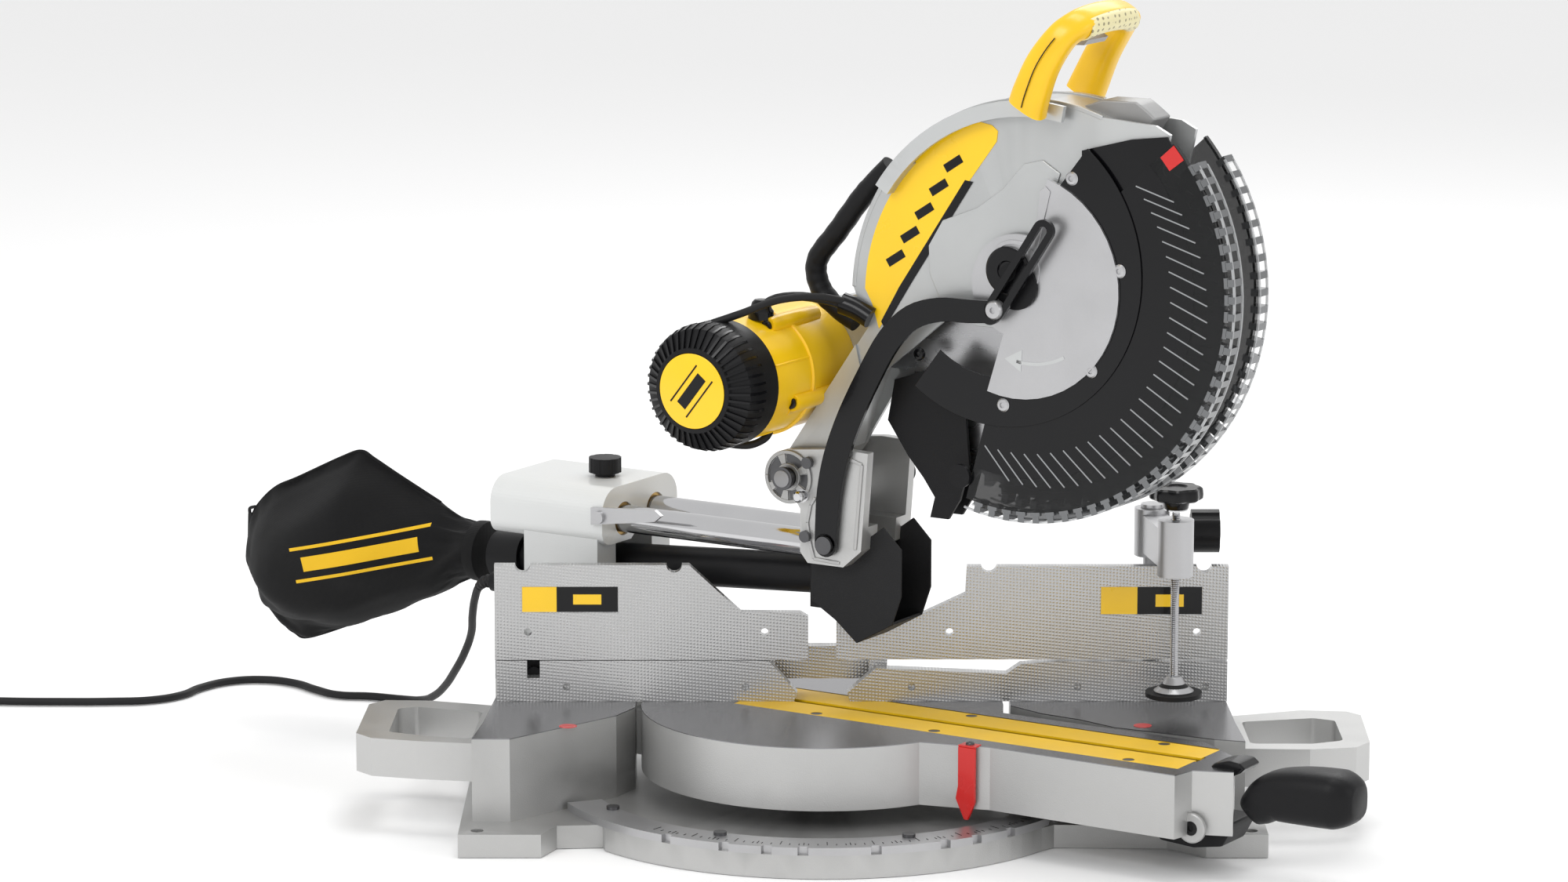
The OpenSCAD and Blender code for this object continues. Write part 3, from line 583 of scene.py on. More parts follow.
def pan_head(centre, radius, height=2.2, side=-1):
    """Domed screw head on a face across x, with a recess."""
    r, h, s = radius, height, side
    profile = [(r * 0.98, 0), (r, h * 0.3 * s), (r * 0.8, h * 0.85 * s), (r * 0.42, h * s),
               (r * 0.36, h * 0.45 * s), (0.1, h * 0.4 * s)]
    return lathe(profile, centre, "x", 24)


# ---------- cord ----------

CORD_D = 6.5
CORD_ROUTE = [
    (-54, 274, 160), (-53, 284, 158), (-48, 293, 152), (-38, 304, 140), (-22, 318, 122),
    (0, 335, 100), (18, 355, 77), (36, 378, 55), (56, 402, 36), (78, 430, 19), (98, 458, 8),
    (108, 484, 3.4), (103, 512, 3.3), (92, 540, 3.3), (98, 568, 3.3), (107, 596, 3.3),
    (104, 626, 3.3), (84, 648, 3.3), (50, 655, 3.3), (22, 652, 3.3), (-6, 662, 3.3),
    (-30, 690, 3.3), (-52, 724, 3.3), (-74, 762, 3.3), (-90, 798, 3.3), (-96, 818, 3.3)]
COIL = Vector((-139, 845, 0))


def coil_points():
    """Turns that lie beside and on each other: columns from outside in, then out again."""
    columns = [43.4, 36.6, 29.9]
    pitch = 6.6
    points = []
    steps = 18
    angle = -0.45
    for layer in range(4):
        order = columns if layer % 2 == 0 else columns[::-1]
        for j, radius in enumerate(order):
            nxt = order[j + 1] if j + 1 < len(order) else radius
            rise_next = j + 1 == len(order) and layer < 3
            turns = steps
            for k in range(turns):
                t = max(0.0, (k / steps - 0.72) / 0.28)
                r = radius + (nxt - radius) * t
                z = 3.35 + layer * pitch + (pitch * t if rise_next else 0)
                points.append(COIL + Vector((r * math.cos(angle), r * math.sin(angle), z)))
                angle += 2 * math.pi / steps
    return points, angle


def add_cord():
    """Power cord from the housing to its coil, with gland, tie and plug."""
    turns, angle = coil_points()
    # the last turn runs on round the coil and climbs into the plug lying on top
    tail = []
    top = 3.35 + 3 * 6.6
    plug_entry = COIL + Vector((-8, -36, 36.1))
    end_angle = -math.pi / 2 - 0.2
    while end_angle < angle:
        end_angle += 2 * math.pi
    steps = 16
    for k in range(steps):
        t = k / steps
        a = angle + (end_angle - angle) * t
        r = 43.4 + (36.0 - 43.4) * t
        tail.append(COIL + Vector((r * math.cos(a), r * math.sin(a), top + (36.1 - top) * t ** 1.6)))
    tail.append(plug_entry)
    route = [Vector(p) for p in CORD_ROUTE[:-1]] + turns + tail
    data = bpy.data.curves.new("power_cord_line", "CURVE")
    data.dimensions = "3D"
    data.bevel_depth = CORD_D / 2 * MM
    data.bevel_resolution = 5
    data.resolution_u = 6
    data.use_fill_caps = True
    spline = data.splines.new("BEZIER")
    spline.bezier_points.add(len(route) - 1)
    for point, co in zip(spline.bezier_points, route):
        point.co = ARM @ co
        point.handle_left_type = point.handle_right_type = "AUTO"
    line = bpy.data.objects.new("power_cord_line", data)
    bpy.context.scene.collection.objects.link(line)
    data.materials.append(RUBBER)
    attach(line, "turntable")
    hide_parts("power_cord", "cord_coil")
    plug = add_plug()
    relief = add_strain_relief()
    tie = add_coil_tie()
    return line, plug, relief, tie


def add_plug():
    """Plug body and two flat prongs on top of the coil."""
    c = COIL + Vector((0, -36, 27.1))
    body_path = [c + Vector((x, 0, 9)) for x in (-9, -6, 0, 8, 18, 27, 30)]
    sizes = [0.45, 0.5, 0.62, 0.8, 0.98, 1.0, 0.93]
    shape = sweep(body_path, lambda t: 9 * sizes[min(6, round(t * 6))], 24, (4, 1.35, 0.97))
    prongs = [block(c + Vector((30, y - 3, 8)), c + Vector((47, y + 3, 9.6))) for y in (-6, 6)]
    plug = build("power_plug_body", [shape], RUBBER, "turntable")
    pins = build("power_plug_prongs", prongs, CHROME, "turntable", bevel=0.3)
    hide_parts("power_plug")
    return plug, pins


def add_strain_relief():
    """Ribbed sleeve where the cord leaves the housing."""
    path = smooth_path([(-54, 268.4, 160), (-54, 276, 160), (-53, 284, 158.2), (-49, 292, 152.8)], 10)
    ribs = [0.9 + 0.1 * math.cos(i * 1.26) for i in range(len(path))]

    def radius(t):
        i = min(len(ribs) - 1, round(t * (len(ribs) - 1)))
        return (7.2 - 3.4 * t) * ribs[i]

    sleeve = build("cord_strain_relief", [sweep(path, radius, 20)], RUBBER, "turntable")
    return sleeve


def add_coil_tie():
    """Hook tape round the coil's section."""
    angle = math.radians(100)
    out = Vector((math.cos(angle), math.sin(angle), 0))
    side = Vector((-out.y, out.x, 0))
    loop = []
    for r, z in ((26, 2), (25.6, 8), (25.6, 20), (27, 26.6), (34, 27), (42, 26.8), (47.2, 24),
                 (47.6, 14), (47.2, 2), (44, 0.4), (36, 0.35), (29, 0.4)):
        loop.append(COIL + out * r + Vector((0, 0, z)))
    verts = [p + side * w for w in (-7, 7) for p in loop]
    n = len(loop)
    faces = [[i, (i + 1) % n, n + (i + 1) % n, n + i] for i in range(n)]
    tie = build("cord_tie", [(verts, faces)], BLACK, "turntable")
    thick = tie.modifiers.new("thickness", "SOLIDIFY")
    thick.thickness = 0.0008
    return tie


# ---------- dust bag ----------

def add_bag():
    """Dust bag lofted between its seams, then settled as cloth."""
    # pairs of (y, z) on the upper and the lower seam, and half the width between
    stations = [((318, 190), (318, 150), 20.5), ((330, 192), (329, 148), 22), ((345, 197), (344, 142), 25),
                ((364, 205), (362, 133), 31), ((385, 213), (382, 125), 38), ((406, 224), (404, 115), 44),
                ((426, 234), (428, 105), 49), ((443, 240), (453, 94), 52), ((462, 233), (478, 84), 53),
                ((484, 223), (500, 76), 52), ((508, 211), (514, 78), 49), ((530, 201), (526, 86), 42),
                ((546, 188), (535, 96), 33), ((556, 175), (543, 116), 21), ((558, 163), (549, 142), 9)]
    sides = 44
    verts = []
    for top, low, wide in stations:
        mid = Vector(((top[0] + low[0]) / 2, (top[1] + low[1]) / 2))
        half = Vector((top[0] - low[0], top[1] - low[1])) / 2
        neck = max(0.0, 1 - (mid.x - 318) / 70)
        for k in range(sides):
            a = 2 * math.pi * k / sides
            c, s = math.cos(a), math.sin(a)
            # round at the neck, pinched into a seam above and below further back
            across = math.copysign(abs(c) ** (1.0 + 0.35 * (1 - neck)), c)
            up = mid + half * s
            verts.append((across * wide, up.x, up.y))
    n = len(stations)
    faces = [[i * sides + k, i * sides + (k + 1) % sides, (i + 1) * sides + (k + 1) % sides,
              (i + 1) * sides + k] for i in range(n - 1) for k in range(sides)]
    faces.append(list(range(sides))[::-1])
    faces.append(list(range((n - 1) * sides, n * sides)))
    bag = build("dust_bag_cloth", [(verts, faces)], BAG_PRINTED, "carriage", sharp=180)
    crumple_bag(bag)
    inflate(bag)
    smooth = bag.modifiers.new("smooth", "SUBSURF")
    smooth.levels = smooth.render_levels = 1
    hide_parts("dust_bag")
    # elastic hem, zip along the tail seam and its pull
    hem = build("dust_bag_hem", [lathe([(22.6, -6), (24.4, -5), (24.8, 0), (24.4, 5), (22.6, 6)],
                                       (0, 322, 169.5), "y", 40)], BAG, "carriage")
    seams = []
    for route in ([(0, 364, 205), (0, 406, 223.4), (0, 430, 234.4), (0, 443, 239.4), (0, 462, 232.6),
                   (0, 508, 210.6), (0, 530, 200.6), (0, 546, 187.6), (0, 556, 174), (0, 557, 160)],
                  [(0, 362, 133.4), (0, 404, 115.4), (0, 453, 94.4), (0, 500, 76.6), (0, 514, 78.6),
                   (0, 526, 86.6), (0, 543, 116), (0, 549, 142), (0, 557, 160)]):
        seams.append(sweep(smooth_path(route, 6), 1.3, 8, side_hint=(1, 0, 0)))
    piping = build("dust_bag_seams", seams, BAG, "carriage")
    tab = prism([(556, 176), (560, 175), (561, 154), (558.6, 152.4), (557, 154)], -1.6, 1.6)
    ring = sweep(smooth_path([(0, 553, 181), (0, 559, 179), (0, 559, 174)], 5), 1.5, 8, side_hint=(1, 0, 0))
    pull = build("dust_bag_zip_pull", [tab, ring], GLOSS_BLACK, "carriage", bevel=0.5)
    return bag


def crumple_bag(bag):
    """Soft folds that run from the neck, and dents across the tail."""
    work = bmesh.new()
    work.from_mesh(bag.data)
    bmesh.ops.subdivide_edges(work, edges=work.edges, cuts=1, use_grid_fill=True, smooth=0.3)
    inverse = ARM.inverted()
    for v in work.verts:
        p = inverse @ v.co
        along = (p.y - 316) / 240
        amount = max(0.0, min(1.0, along * 3 - 0.15)) * max(0.15, 1 - max(0, along - 0.85) * 5)
        fold = noise.noise(Vector((p.x * 0.018, p.y * 0.012, p.z * 0.03)) + Vector((3, 1, 7)))
        crease = abs(noise.noise(Vector((p.x * 0.02, p.y * 0.02 + p.z * 0.022, 1.7))))
        away = Vector((p.x, 0, p.z - 165))
        if away.length > 1:
            away.normalize()
        amount *= min(1.0, abs(p.x) / 22)
        p += away * amount * (5 * fold - 4.5 * (0.25 - crease) - 1.5)
        near = max(0.0, 1 - abs(along - 0.12) / 0.1)
        ring = math.atan2(p.z - 170, p.x)
        p += away * near * 1.6 * math.sin(ring * 11)
        v.co = ARM @ p
    work.to_mesh(bag.data)
    work.free()


def inflate(bag):
    """Cloth with a little pressure pulls the bag into its seams; every move is capped."""
    scene = bpy.context.scene
    start = [v.co.copy() for v in bag.data.vertices]
    group = bag.vertex_groups.new(name="held")
    inverse = ARM.inverted()
    held = [v.index for v in bag.data.vertices if (inverse @ v.co).y < 334
            or abs((inverse @ v.co).x) < 1.5]
    group.add(held, 1.0, "REPLACE")
    cloth = bag.modifiers.new("cloth", "CLOTH")
    cloth.settings.quality = 6
    cloth.settings.mass = 0.25
    cloth.settings.tension_stiffness = 12
    cloth.settings.bending_stiffness = 0.15
    cloth.settings.vertex_group_mass = "held"
    cloth.settings.use_pressure = True
    cloth.settings.uniform_pressure_force = 1.2
    cloth.settings.shrink_min = -0.03
    cloth.settings.effector_weights.gravity = 0.35
    cloth.collision_settings.use_self_collision = False
    for frame_number in range(1, 19):
        scene.frame_set(frame_number)
    depth = bpy.context.evaluated_depsgraph_get()
    moved = bag.evaluated_get(depth).to_mesh()
    result = [v.co.copy() for v in moved.vertices]
    bag.evaluated_get(depth).to_mesh_clear()
    bag.modifiers.remove(cloth)
    scene.frame_set(1)
    cap = 0.007
    for v, a, b in zip(bag.data.vertices, start, result):
        step = b - a
        if step.length > cap:
            step *= cap / step.length
        v.co = a + step


# ---------- lower guard ----------

RING_C = (0, -172, 447)


def add_lower_guard():
    """Black guard shell, its smoked window, ribs with a painted highlight, ring and screws."""
    shell = build("lower_guard_shell", [
        sector(GUARD, 80, 147, GUARD_LO, GUARD_HI, -27, -25.2, 60),
        sector(GUARD, 62, 147, GUARD_LO, GUARD_HI, 25.2, 27, 60)], GLOSS_BLACK, "guard")
    window = build("lower_guard_window", [
        sector(GUARD, 147.05, 171, GUARD_LO, GUARD_HI, -27, -25.2, 60),
        sector(GUARD, 147.05, 171, GUARD_LO, GUARD_HI, 25.2, 27, 60),
        sector(GUARD, 171, 173, GUARD_LO, GUARD_HI, -27, -22.6, 60),
        sector(GUARD, 171, 173, GUARD_LO, GUARD_HI, 22.6, 27, 60)], SMOKED, "guard")
    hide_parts("lower_guard")
    # fixed panel above the guard, which turns outside it
    outline = [(-240, 540), (-281, 551), (-311, 555), (-316, 548), (-296, 520), (-255, 490), (-240, 520)]
    crest = build("head_smoked_panel", [prism(outline, -24.9, -23.6)], GLOSS_BLACK, "head")
    # raised ribs on the guard wall; their light grey is a painted highlight along each rib
    ribs = []
    for i in range(29):
        a = 40 - 5.1 * i
        if a < GUARD_LO + 2:
            break
        tilt = math.radians(-22 + 0.27 * min(a, 20))
        foot = Vector((GUARD.y, GUARD.z)) + 128 * facing(a)
        run = Vector((-math.cos(tilt), math.sin(tilt)))
        across = Vector((run.y, -run.x)) * 0.45
        tip = foot + run * 33
        reach = (tip - Vector((GUARD.y, GUARD.z))).length
        if reach > 166:
            tip = foot + run * (33 * 0.85)
        ribs.append(prism([tuple(foot + across), tuple(tip + across), tuple(tip - across),
                           tuple(foot - across)], -27.7, -27.02))
    rib_set = build("lower_guard_ribs", ribs, RIB_PAINTED_HIGHLIGHT, "guard")
    # dust ring, screws and red patch
    dark = build("lower_guard_ring", [sector(RING_C, 84, 121, -127, 52, -28.4, -27.03, 60)],
                 GLOSS_BLACK, "guard", bevel=0.4)
    screws = [pan_head((-28.4, y, z), 5.2, 2.0) for y, z in
              ((-234, 519), (-275, 453), (-252, 376), (-177, 343))]
    heads = build("lower_guard_screws", screws, ZINC, "guard")
    patch = build("lower_guard_red_patch", [sector(GUARD, 158, 172.5, 37.2, 41.6, -27.7, -27.02, 10)],
                  RED, "guard")
    add_guard_rim()
    add_guard_plate()


def add_guard_rim():
    """The ladder-like rim: a clear outer band carried by rungs, with open windows between."""
    bands = []
    for x0, x1 in ((-27, -25.4), (25.4, 27)):
        bands.append(sector(GUARD, 179.4, 181, GUARD_LO, 34, x0, x1, 60))
    for x0, x1 in ((-15, -13), (13, 15)):
        bands.append(sector(GUARD, 179.8, 181, GUARD_LO, 34, x0, x1, 60))
    clear = build("lower_guard_rim_bands", bands, CLEAR, "guard")
    rungs = []
    pitch = 4.1
    count = int((34 - GUARD_LO) / pitch) + 1
    for i in range(count):
        a = 34 - pitch * i
        rungs.append(sector(GUARD, 172.8, 180.9, a - 0.85, a + 0.85, -27.2, -14, 2))
        rungs.append(sector(GUARD, 172.8, 180.9, a - 0.85, a + 0.85, 14, 27.2, 2))
        rungs.append(sector(GUARD, 172.6, 175.4, a - 1.3, a + 1.3, -27.5, -20, 2))
    bars = build("lower_guard_rungs", rungs, RUNG, "guard", sharp=30)


def add_guard_plate():
    """Silver half-round plate with a raised hub lip and a plain curved arrow."""
    lip = []
    lip.append(sector((0, -186, 447), 19.2, 22.5, -170, 130, -31.4, -30.25, 40))
    lip.append(prism([(-203, 458), (-206, 462), (-217, 508), (-213, 512), (-208, 508)], -31.2, -30.25))
    band = build("guard_plate_lip", lip, ZINC, "guard", bevel=0.3)
    arrow = [sector((0, -200, 440), 62, 64.5, -100, -62, -30.6, -30.25, 16)]
    a = Vector((-200, 440)) + 63.2 * facing(-101)
    arrow.append(prism([(a.x + 9, a.y + 1), (a.x - 6, a.y + 9), (a.x - 5, a.y - 8)], -30.6, -30.25))
    mark = build("guard_plate_arrow", arrow, HEAD_PAINT, "guard")
    cap = build("guard_pivot_disc", [
        lathe([(18.4, -30.9), (18.4, -33.2), (17, -34.2), (8, -34.2), (7, -33), (0.2, -33)],
              (0, -182, 446), "x", 48)], GLOSS_BLACK, "head")


# ---------- head trim ----------

def add_head_trim():
    """Decal, boss, nose, screws and rim bead on the head casting."""
    crescent = [(-58, 409), (-64, 390), (-88, 425)] + [(-143, 510), (-166, 541), (-167, 549), (-162, 553)]
    crescent += arc(ARBOR, 149.5, 107, 178, 22)[1:]
    decal = build("head_decal_yellow", [prism(crescent, -22.5, -22.02)], DECAL_YELLOW, "head")
    stripe = [(-66, 396), (-82, 424), (-139, 510), (-146, 509), (-92, 427), (-69, 391)]
    dark = build("head_decal_stripe", [prism(stripe, -22.7, -22.02)], GLOSS_BLACK, "head")
    marks = []
    for k in range(5):
        # plain slanted bars stand for the lettering
        y = -70 - 12.5 * k
        z = 444 + 19 * k
        marks.append(prism([(y, z), (y - 14, z + 9), (y - 17.5, z + 3.5), (y - 3.5, z - 5.5)], -22.75, -22.5))
    bars = build("head_decal_bars", marks, GLOSS_BLACK, "head")
    boss = [(-221, 521), (-206, 530), (-190, 526), (-172, 506), (-150, 490), (-120, 478), (-108, 458),
            (-109, 436), (-120, 414), (-150, 400), (-186, 400), (-196, 440)]
    relief = build("head_boss", [prism(boss, -23.4, -22.02)], HEAD_PAINT, "head", bevel=1.2)
    nose = arc(GUARD, 168, 51, 58, 4) + [(-250, 577), (-222, 567), (-232, 552), (-262, 549), (-286, 553)]
    block_nose = build("head_nose_block", [prism(nose, -12.5, 12.5)], GREY_CAST, "head", bevel=1.5)
    screws = [pan_head((-22, y, z), r, 3) for y, z, r in
              ((-123, 408, 6), (-100, 374, 5), (-62, 365, 4))]
    heads = build("head_screws", screws, GLOSS_BLACK, "head")
    rim = [sector(ARBOR, 157.5, 161.2, 70, 178, -22.6, -20, 60),
           sector(ARBOR, 157.5, 161.2, 70, 178, 20, 22.6, 60)]
    edge = build("head_rim_bead", rim, HEAD_PAINT, "head", bevel=0.8)


def add_handle():
    """Closed D-handle across the head: two broad legs and a grip with a dotted pad."""
    lean = Vector((0, -0.483, 0.876))
    path = [(-43, -204, 571), (-45, -209, 584), (-46, -219, 606), (-44, -233, 626), (-36, -242, 634),
            (-20, -245, 637), (0, -246, 638), (20, -245, 637), (36, -242, 634), (44, -233, 626),
            (46, -219, 606), (45, -209, 584), (43, -204, 571)]
    points = smooth_path(path, 5)
    normal = Vector((0, 0.876, 0.483))
    verts, sides = [], 28
    n = len(points)
    for i, p in enumerate(points):
        t = (points[min(i + 1, n - 1)] - points[max(i - 1, 0)]).normalized()
        inward = t.cross(normal).normalized()
        leg = min(1.0, abs(p.x) / 42)
        low = max(0.0, min(1.0, (626 - p.z) / 70))
        deep = 11.5 + 1.5 * leg * low + 3.5 * low
        thick = 9.2 + 0.8 * low
        for k in range(sides):
            a = 2 * math.pi * k / sides
            c, s = math.cos(a), math.sin(a)
            m = (abs(c) ** 3 + abs(s) ** 3) ** (-1 / 3)
            verts.append(p + normal * c * m * deep + inward * s * m * thick)
    faces = [[i * sides + k, i * sides + (k + 1) % sides, (i + 1) * sides + (k + 1) % sides,
              (i + 1) * sides + k] for i in range(n - 1) for k in range(sides)]
    faces += [list(range(sides))[::-1], list(range((n - 1) * sides, n * sides))]
    handle = build("handle_loop", [(verts, faces)], YELLOW, "head", sharp=60)
    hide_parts("handle_shell_left", "handle_shell_right")
    strip = [p for p in points if abs(p.x) < 37 and p.z > 620]
    front = -normal
    rows = 7
    pad_verts = []
    for p in strip:
        for k in range(rows + 1):
            a = math.radians(-62 + 124 * k / rows)
            pad_verts.append(p + front * (12.1 * math.cos(a)) + lean * (9.7 * math.sin(a)))
    m = rows + 1
    pad_faces = [[i * m + k, i * m + k + 1, (i + 1) * m + k + 1, (i + 1) * m + k]
                 for i in range(len(strip) - 1) for k in range(rows)]
    grip = build("handle_dotted_pad", [(pad_verts, pad_faces)], DOTS, "head", sharp=80)
    skin = grip.modifiers.new("thickness", "SOLIDIFY")
    skin.thickness = 0.0011
    skin.offset = 1
    line = []
    for side in (-1, 1):
        line.append(sweep([p + Vector((side * 10.7, 0, 0)) for p in points if p.x * side > 43], 0.45, 6))
    joint = build("handle_seam", line, GLOSS_BLACK, "head")


def add_carry_handle():
    """Bent tube behind the head, in a ribbed rubber sleeve."""
    route = smooth_path([(0, -31, 389), (0, -14, 398), (0, 2, 413), (0, 5, 434), (0, -14, 459),
                         (0, -40, 492), (0, -61, 513)], 10)
    last = len(route) - 1

    def radius(t):
        middle = 0.22 < t < 0.85
        return 8.4 + (0.18 * math.cos(t * last * 1.6) if middle else -0.5)

    tube = build("carry_handle_tube", [sweep(route, radius, 28, side_hint=(1, 0, 0))], BLACK, "head",
                 sharp=80)
    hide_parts("carry_handle")


def add_pointer():
    """Red strap from the arm's top edge down to the scale."""
    low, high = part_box("miter_pointer")
    mid = [(a + b) / 2 for a, b in zip(low, high)]
    inverse = ARM.inverted()
    centre = inverse @ Vector(mid)
    face = centre.x
    strap = [(-7.5, 82.6), (7.5, 82.6), (7.5, 52), (9.5, 42), (2, 26), (-1.5, 26), (-7.5, 40)]
    outline = [(centre.y + y, z) for y, z in strap]
    body = build("miter_pointer_strap", [prism(outline, face - 1.4, face + 1.4)], RED, "turntable",
                 bevel=0.8)
    tab = block((face - 1.2, centre.y - 7.4, 82.6), (face + 9, centre.y + 7.4, 84.1))
    top = build("miter_pointer_tab", [tab], RED, "turntable", bevel=0.5)
    profile = [(3.4, 84.1), (3.3, 85.2), (2.4, 85.9), (1.1, 85.9), (1, 85.2), (0.1, 85.2)]
    screw = build("miter_pointer_screw", [lathe(profile, (face + 4.4, centre.y, 0), "z", 20)], DARK_STEEL_AND_SHADE,
                  "turntable")
    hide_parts("miter_pointer")


def add_motor():
    """Vented end cap, badge, bosses, ribs, screws and leads of the motor."""
    left = -131
    cone = [(30, -130.2), (46, -121), (48.8, -112), (48.8, -104), (48.8, -86), (46.5, -84.9)]
    shell = build("motor_cap_shell", [lathe(cone, (0, MOTOR.y, MOTOR.z), "x", 72)], BLACK, "head")
    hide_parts("motor_end_cap")
    # each fin is a thin plate whose outline is given as (radius, x)
    outline = [(32.5, -131), (46.4, -122.6), (49.2, -113), (49.2, -104), (47, -104), (44, -118), (31.5, -127)]
    n = len(outline)
    c = Vector((MOTOR.y, MOTOR.z))
    fins = []
    for k in range(44):
        u = facing(360 * k / 44)
        w = Vector((u.y, -u.x))
        verts = []
        for r, x in outline:
            for side in (-0.95, 0.95):
                yz = c + u * r + w * side
                verts.append((x, yz.x, yz.y))
        faces = [[2 * i, 2 * i + 1, 2 * ((i + 1) % n) + 1, 2 * ((i + 1) % n)] for i in range(n)]
        faces += [[2 * i for i in range(n)], [2 * i + 1 for i in range(n)][::-1]]
        fins.append((verts, faces))
    vane = build("motor_cap_fins", fins, GLOSS_BLACK, "head", sharp=25)
    profile = [(29, left + 2), (29.4, left - 0.6), (32.6, left - 0.2), (33.4, left + 3)]
    ring = build("motor_cap_ring", [lathe(profile, (0, MOTOR.y, MOTOR.z), "x", 60)], BLACK, "head")
    profile = [(28.6, left), (28.8, left - 1.0), (27.8, left - 1.4), (0.2, left - 1.5)]
    badge = build("motor_badge", [lathe(profile, (0, MOTOR.y, MOTOR.z), "x", 60)], DECAL_YELLOW, "head")
    bars = []
    run = Vector((-0.62, 0.78))
    across = Vector((run.y, -run.x))
    for offset, half, long in ((-9, 0.6, 19), (9, 0.6, 19), (0, 4.5, 15)):
        m = c + across * offset
        a, b = m - run * long, m + run * long
        bars.append(prism([tuple(a + across * half), tuple(b + across * half), tuple(b - across * half),
                           tuple(a - across * half)], left - 1.75, left - 1.45))
    mark = build("motor_badge_bars", bars, GLOSS_BLACK, "head")
    bosses, screws = [], []
    for a in (62, 140, 218, -20):
        q = c + facing(a) * 47
        bosses.append(lathe([(6.5, -60), (7.2, -57), (7.2, -8), (6.5, 8)], (0, q.x, q.y), "x", 28))
        screws.append(lathe([(4.4, -60.1), (4.4, -62), (3.4, -62.6), (1.6, -62.6), (1.4, -61.4),
                             (0.1, -61.4)], (0, q.x, q.y), "x", 20))
    # cooling ribs and a step ring round the body
    ribs = [lathe([(47.6, -36), (49.2, -35), (49.2, -32), (47.6, -31)], (0, MOTOR.y, MOTOR.z), "x", 72)]
    for a in (100, 118, 20, -60):
        q0 = c + facing(a) * 47.4
        ribs.append(sweep([Vector((-84, q0.x, q0.y)), Vector((-36, q0.x, q0.y))], 0.9, 8))
    body = build("motor_bosses", bosses + ribs, YELLOW, "head")
    heads = build("motor_screws", screws, GLOSS_BLACK, "head")
    gland = build("motor_cable_gland", [lathe([(10, -2), (10, 4), (8.4, 6), (7, 11), (5, 13)],
                                              (-56, 21, 397), "z", 28)], GLOSS_BLACK, "head")
    upper = [(-98, 38, 396), (-88, 18, 404), (-66, -2, 413), (-44, -24, 414), (-26, -44, 408)]
    lower = [(-84, 36, 301), (-72, 22, 299), (-60, 14, 304), (-52, 14, 313)]
    leads = [sweep(smooth_path(upper, 8), 3.0, 12), sweep(smooth_path(lower, 8), 3.0, 12)]
    wires = build("motor_leads", leads, RUBBER, "head")
    route = smooth_path([(-27, -34, 408), (-25, -46, 404), (-24, -58, 398)], 6)
    sleeve = build("lead_sleeve", [sweep(route, 8.5, 20)], GLOSS_BLACK, "head")


# ---------- carriage, clamp, lever and base trim ----------

def ribbon(points, half_widths):
    """Outline of a strip along (y, z) points with a half width at each."""
    left, right = [], []
    for k, p in enumerate(points):
        run = (points[min(k + 1, len(points) - 1)] - points[max(k - 1, 0)]).normalized()
        across = Vector((-run.y, run.x)) * half_widths[k]
        left.append(tuple(p + across))
        right.append(tuple(p - across))
    return left + right[::-1]


def add_link():
    """Black pressed link with a long slot that the guard's stud runs in."""
    x0, x1 = -42, -38
    line = [(-28, 221), (-29, 240), (-31, 262), (-37, 290), (-49, 322), (-66, 356), (-84, 386), (-104, 405),
            (-128, 413), (-152, 414), (-170, 415)]
    widths = [9.5, 10, 10.6, 10.8, 10.6, 10.2, 10, 9.6, 9.2, 9, 8.4]
    route = [Vector((p.y, p.z)) for p in smooth_path([(0, y, z) for y, z in line], 4)]
    half = [widths[min(k // 4, 10)] + (widths[min(k // 4 + 1, 10)] - widths[min(k // 4, 10)]) * (k % 4) / 4
            for k in range(len(route))]
    a, b = Vector((-176, 417)), Vector((-217, 480))
    run = (b - a).normalized()
    across = Vector((-run.y, run.x))

    def stadium(radius, steps=14):
        pts = []
        for end, sign in ((b, 1), (a, -1)):
            for k in range(steps + 1):
                t = math.radians(90 - 180 * k / steps)
                pts.append(end + sign * (run * math.cos(t) + across * math.sin(t)) * radius)
        return pts

    outer, inner = stadium(8.6), stadium(3.4)
    n = len(outer)
    verts = [(x, p.x, p.y) for x in (x0, x1) for ring in (inner, outer) for p in ring]
    faces = []
    for i in range(n):
        j = (i + 1) % n
        for p, q in ((0, n), (n, 3 * n), (3 * n, 2 * n), (2 * n, 0)):
            faces.append([p + i, p + j, q + j, q + i])
    bar = prism(ribbon(route, half), x0, x1)
    foot = prism(arc((0, -28, 221), 9.5, -180, 180, 24)[:-1], x0, x1)
    knee = prism(arc((0, -172, 414), 8.6, -180, 180, 24)[:-1], x0 + 0.02, x1 - 0.02)
    link = build("guard_link_bar", [bar, foot], GLOSS_BLACK, "link", bevel=0.5)
    slot = build("guard_link_slot", [(verts, faces)], GLOSS_BLACK, "link")
    elbow = build("guard_link_elbow", [knee], GLOSS_BLACK, "link")
    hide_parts("guard_link")
    profile = [(5, -30.3), (5, -37.6), (7.4, -37.7), (7.6, -38), (7.4, -42.2), (6, -44.4), (2.4, -44.6),
               (2.2, -43), (0.1, -43)]
    stud = build("guard_link_stud", [lathe(profile, (0, -176, 417), "x", 28)], ZINC, "link")


def add_chute_boot():
    """Rubber boot that hangs from the chute; on the saw it folds up as the carriage slides over the fence,
    here it is one rigid shape.
    """
    outer = [(-85, 220), (-69, 236), (-50, 222), (-34, 206), (-4, 204), (-3, 172), (-26, 158), (-45, 142),
             (-77, 160), (-85, 183)]
    parts = []
    for side in (-1, 1):
        parts.append(prism(outer, side * 21.6, side * 23.2))
    parts.append(prism([(-26, 158), (-45, 142), (-77, 160), (-76, 162), (-45, 144.4), (-27, 160)], -22, 22))
    boot = build("dust_chute_boot", parts, RUBBER, "carriage", bevel=0.6)
    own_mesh(boot)


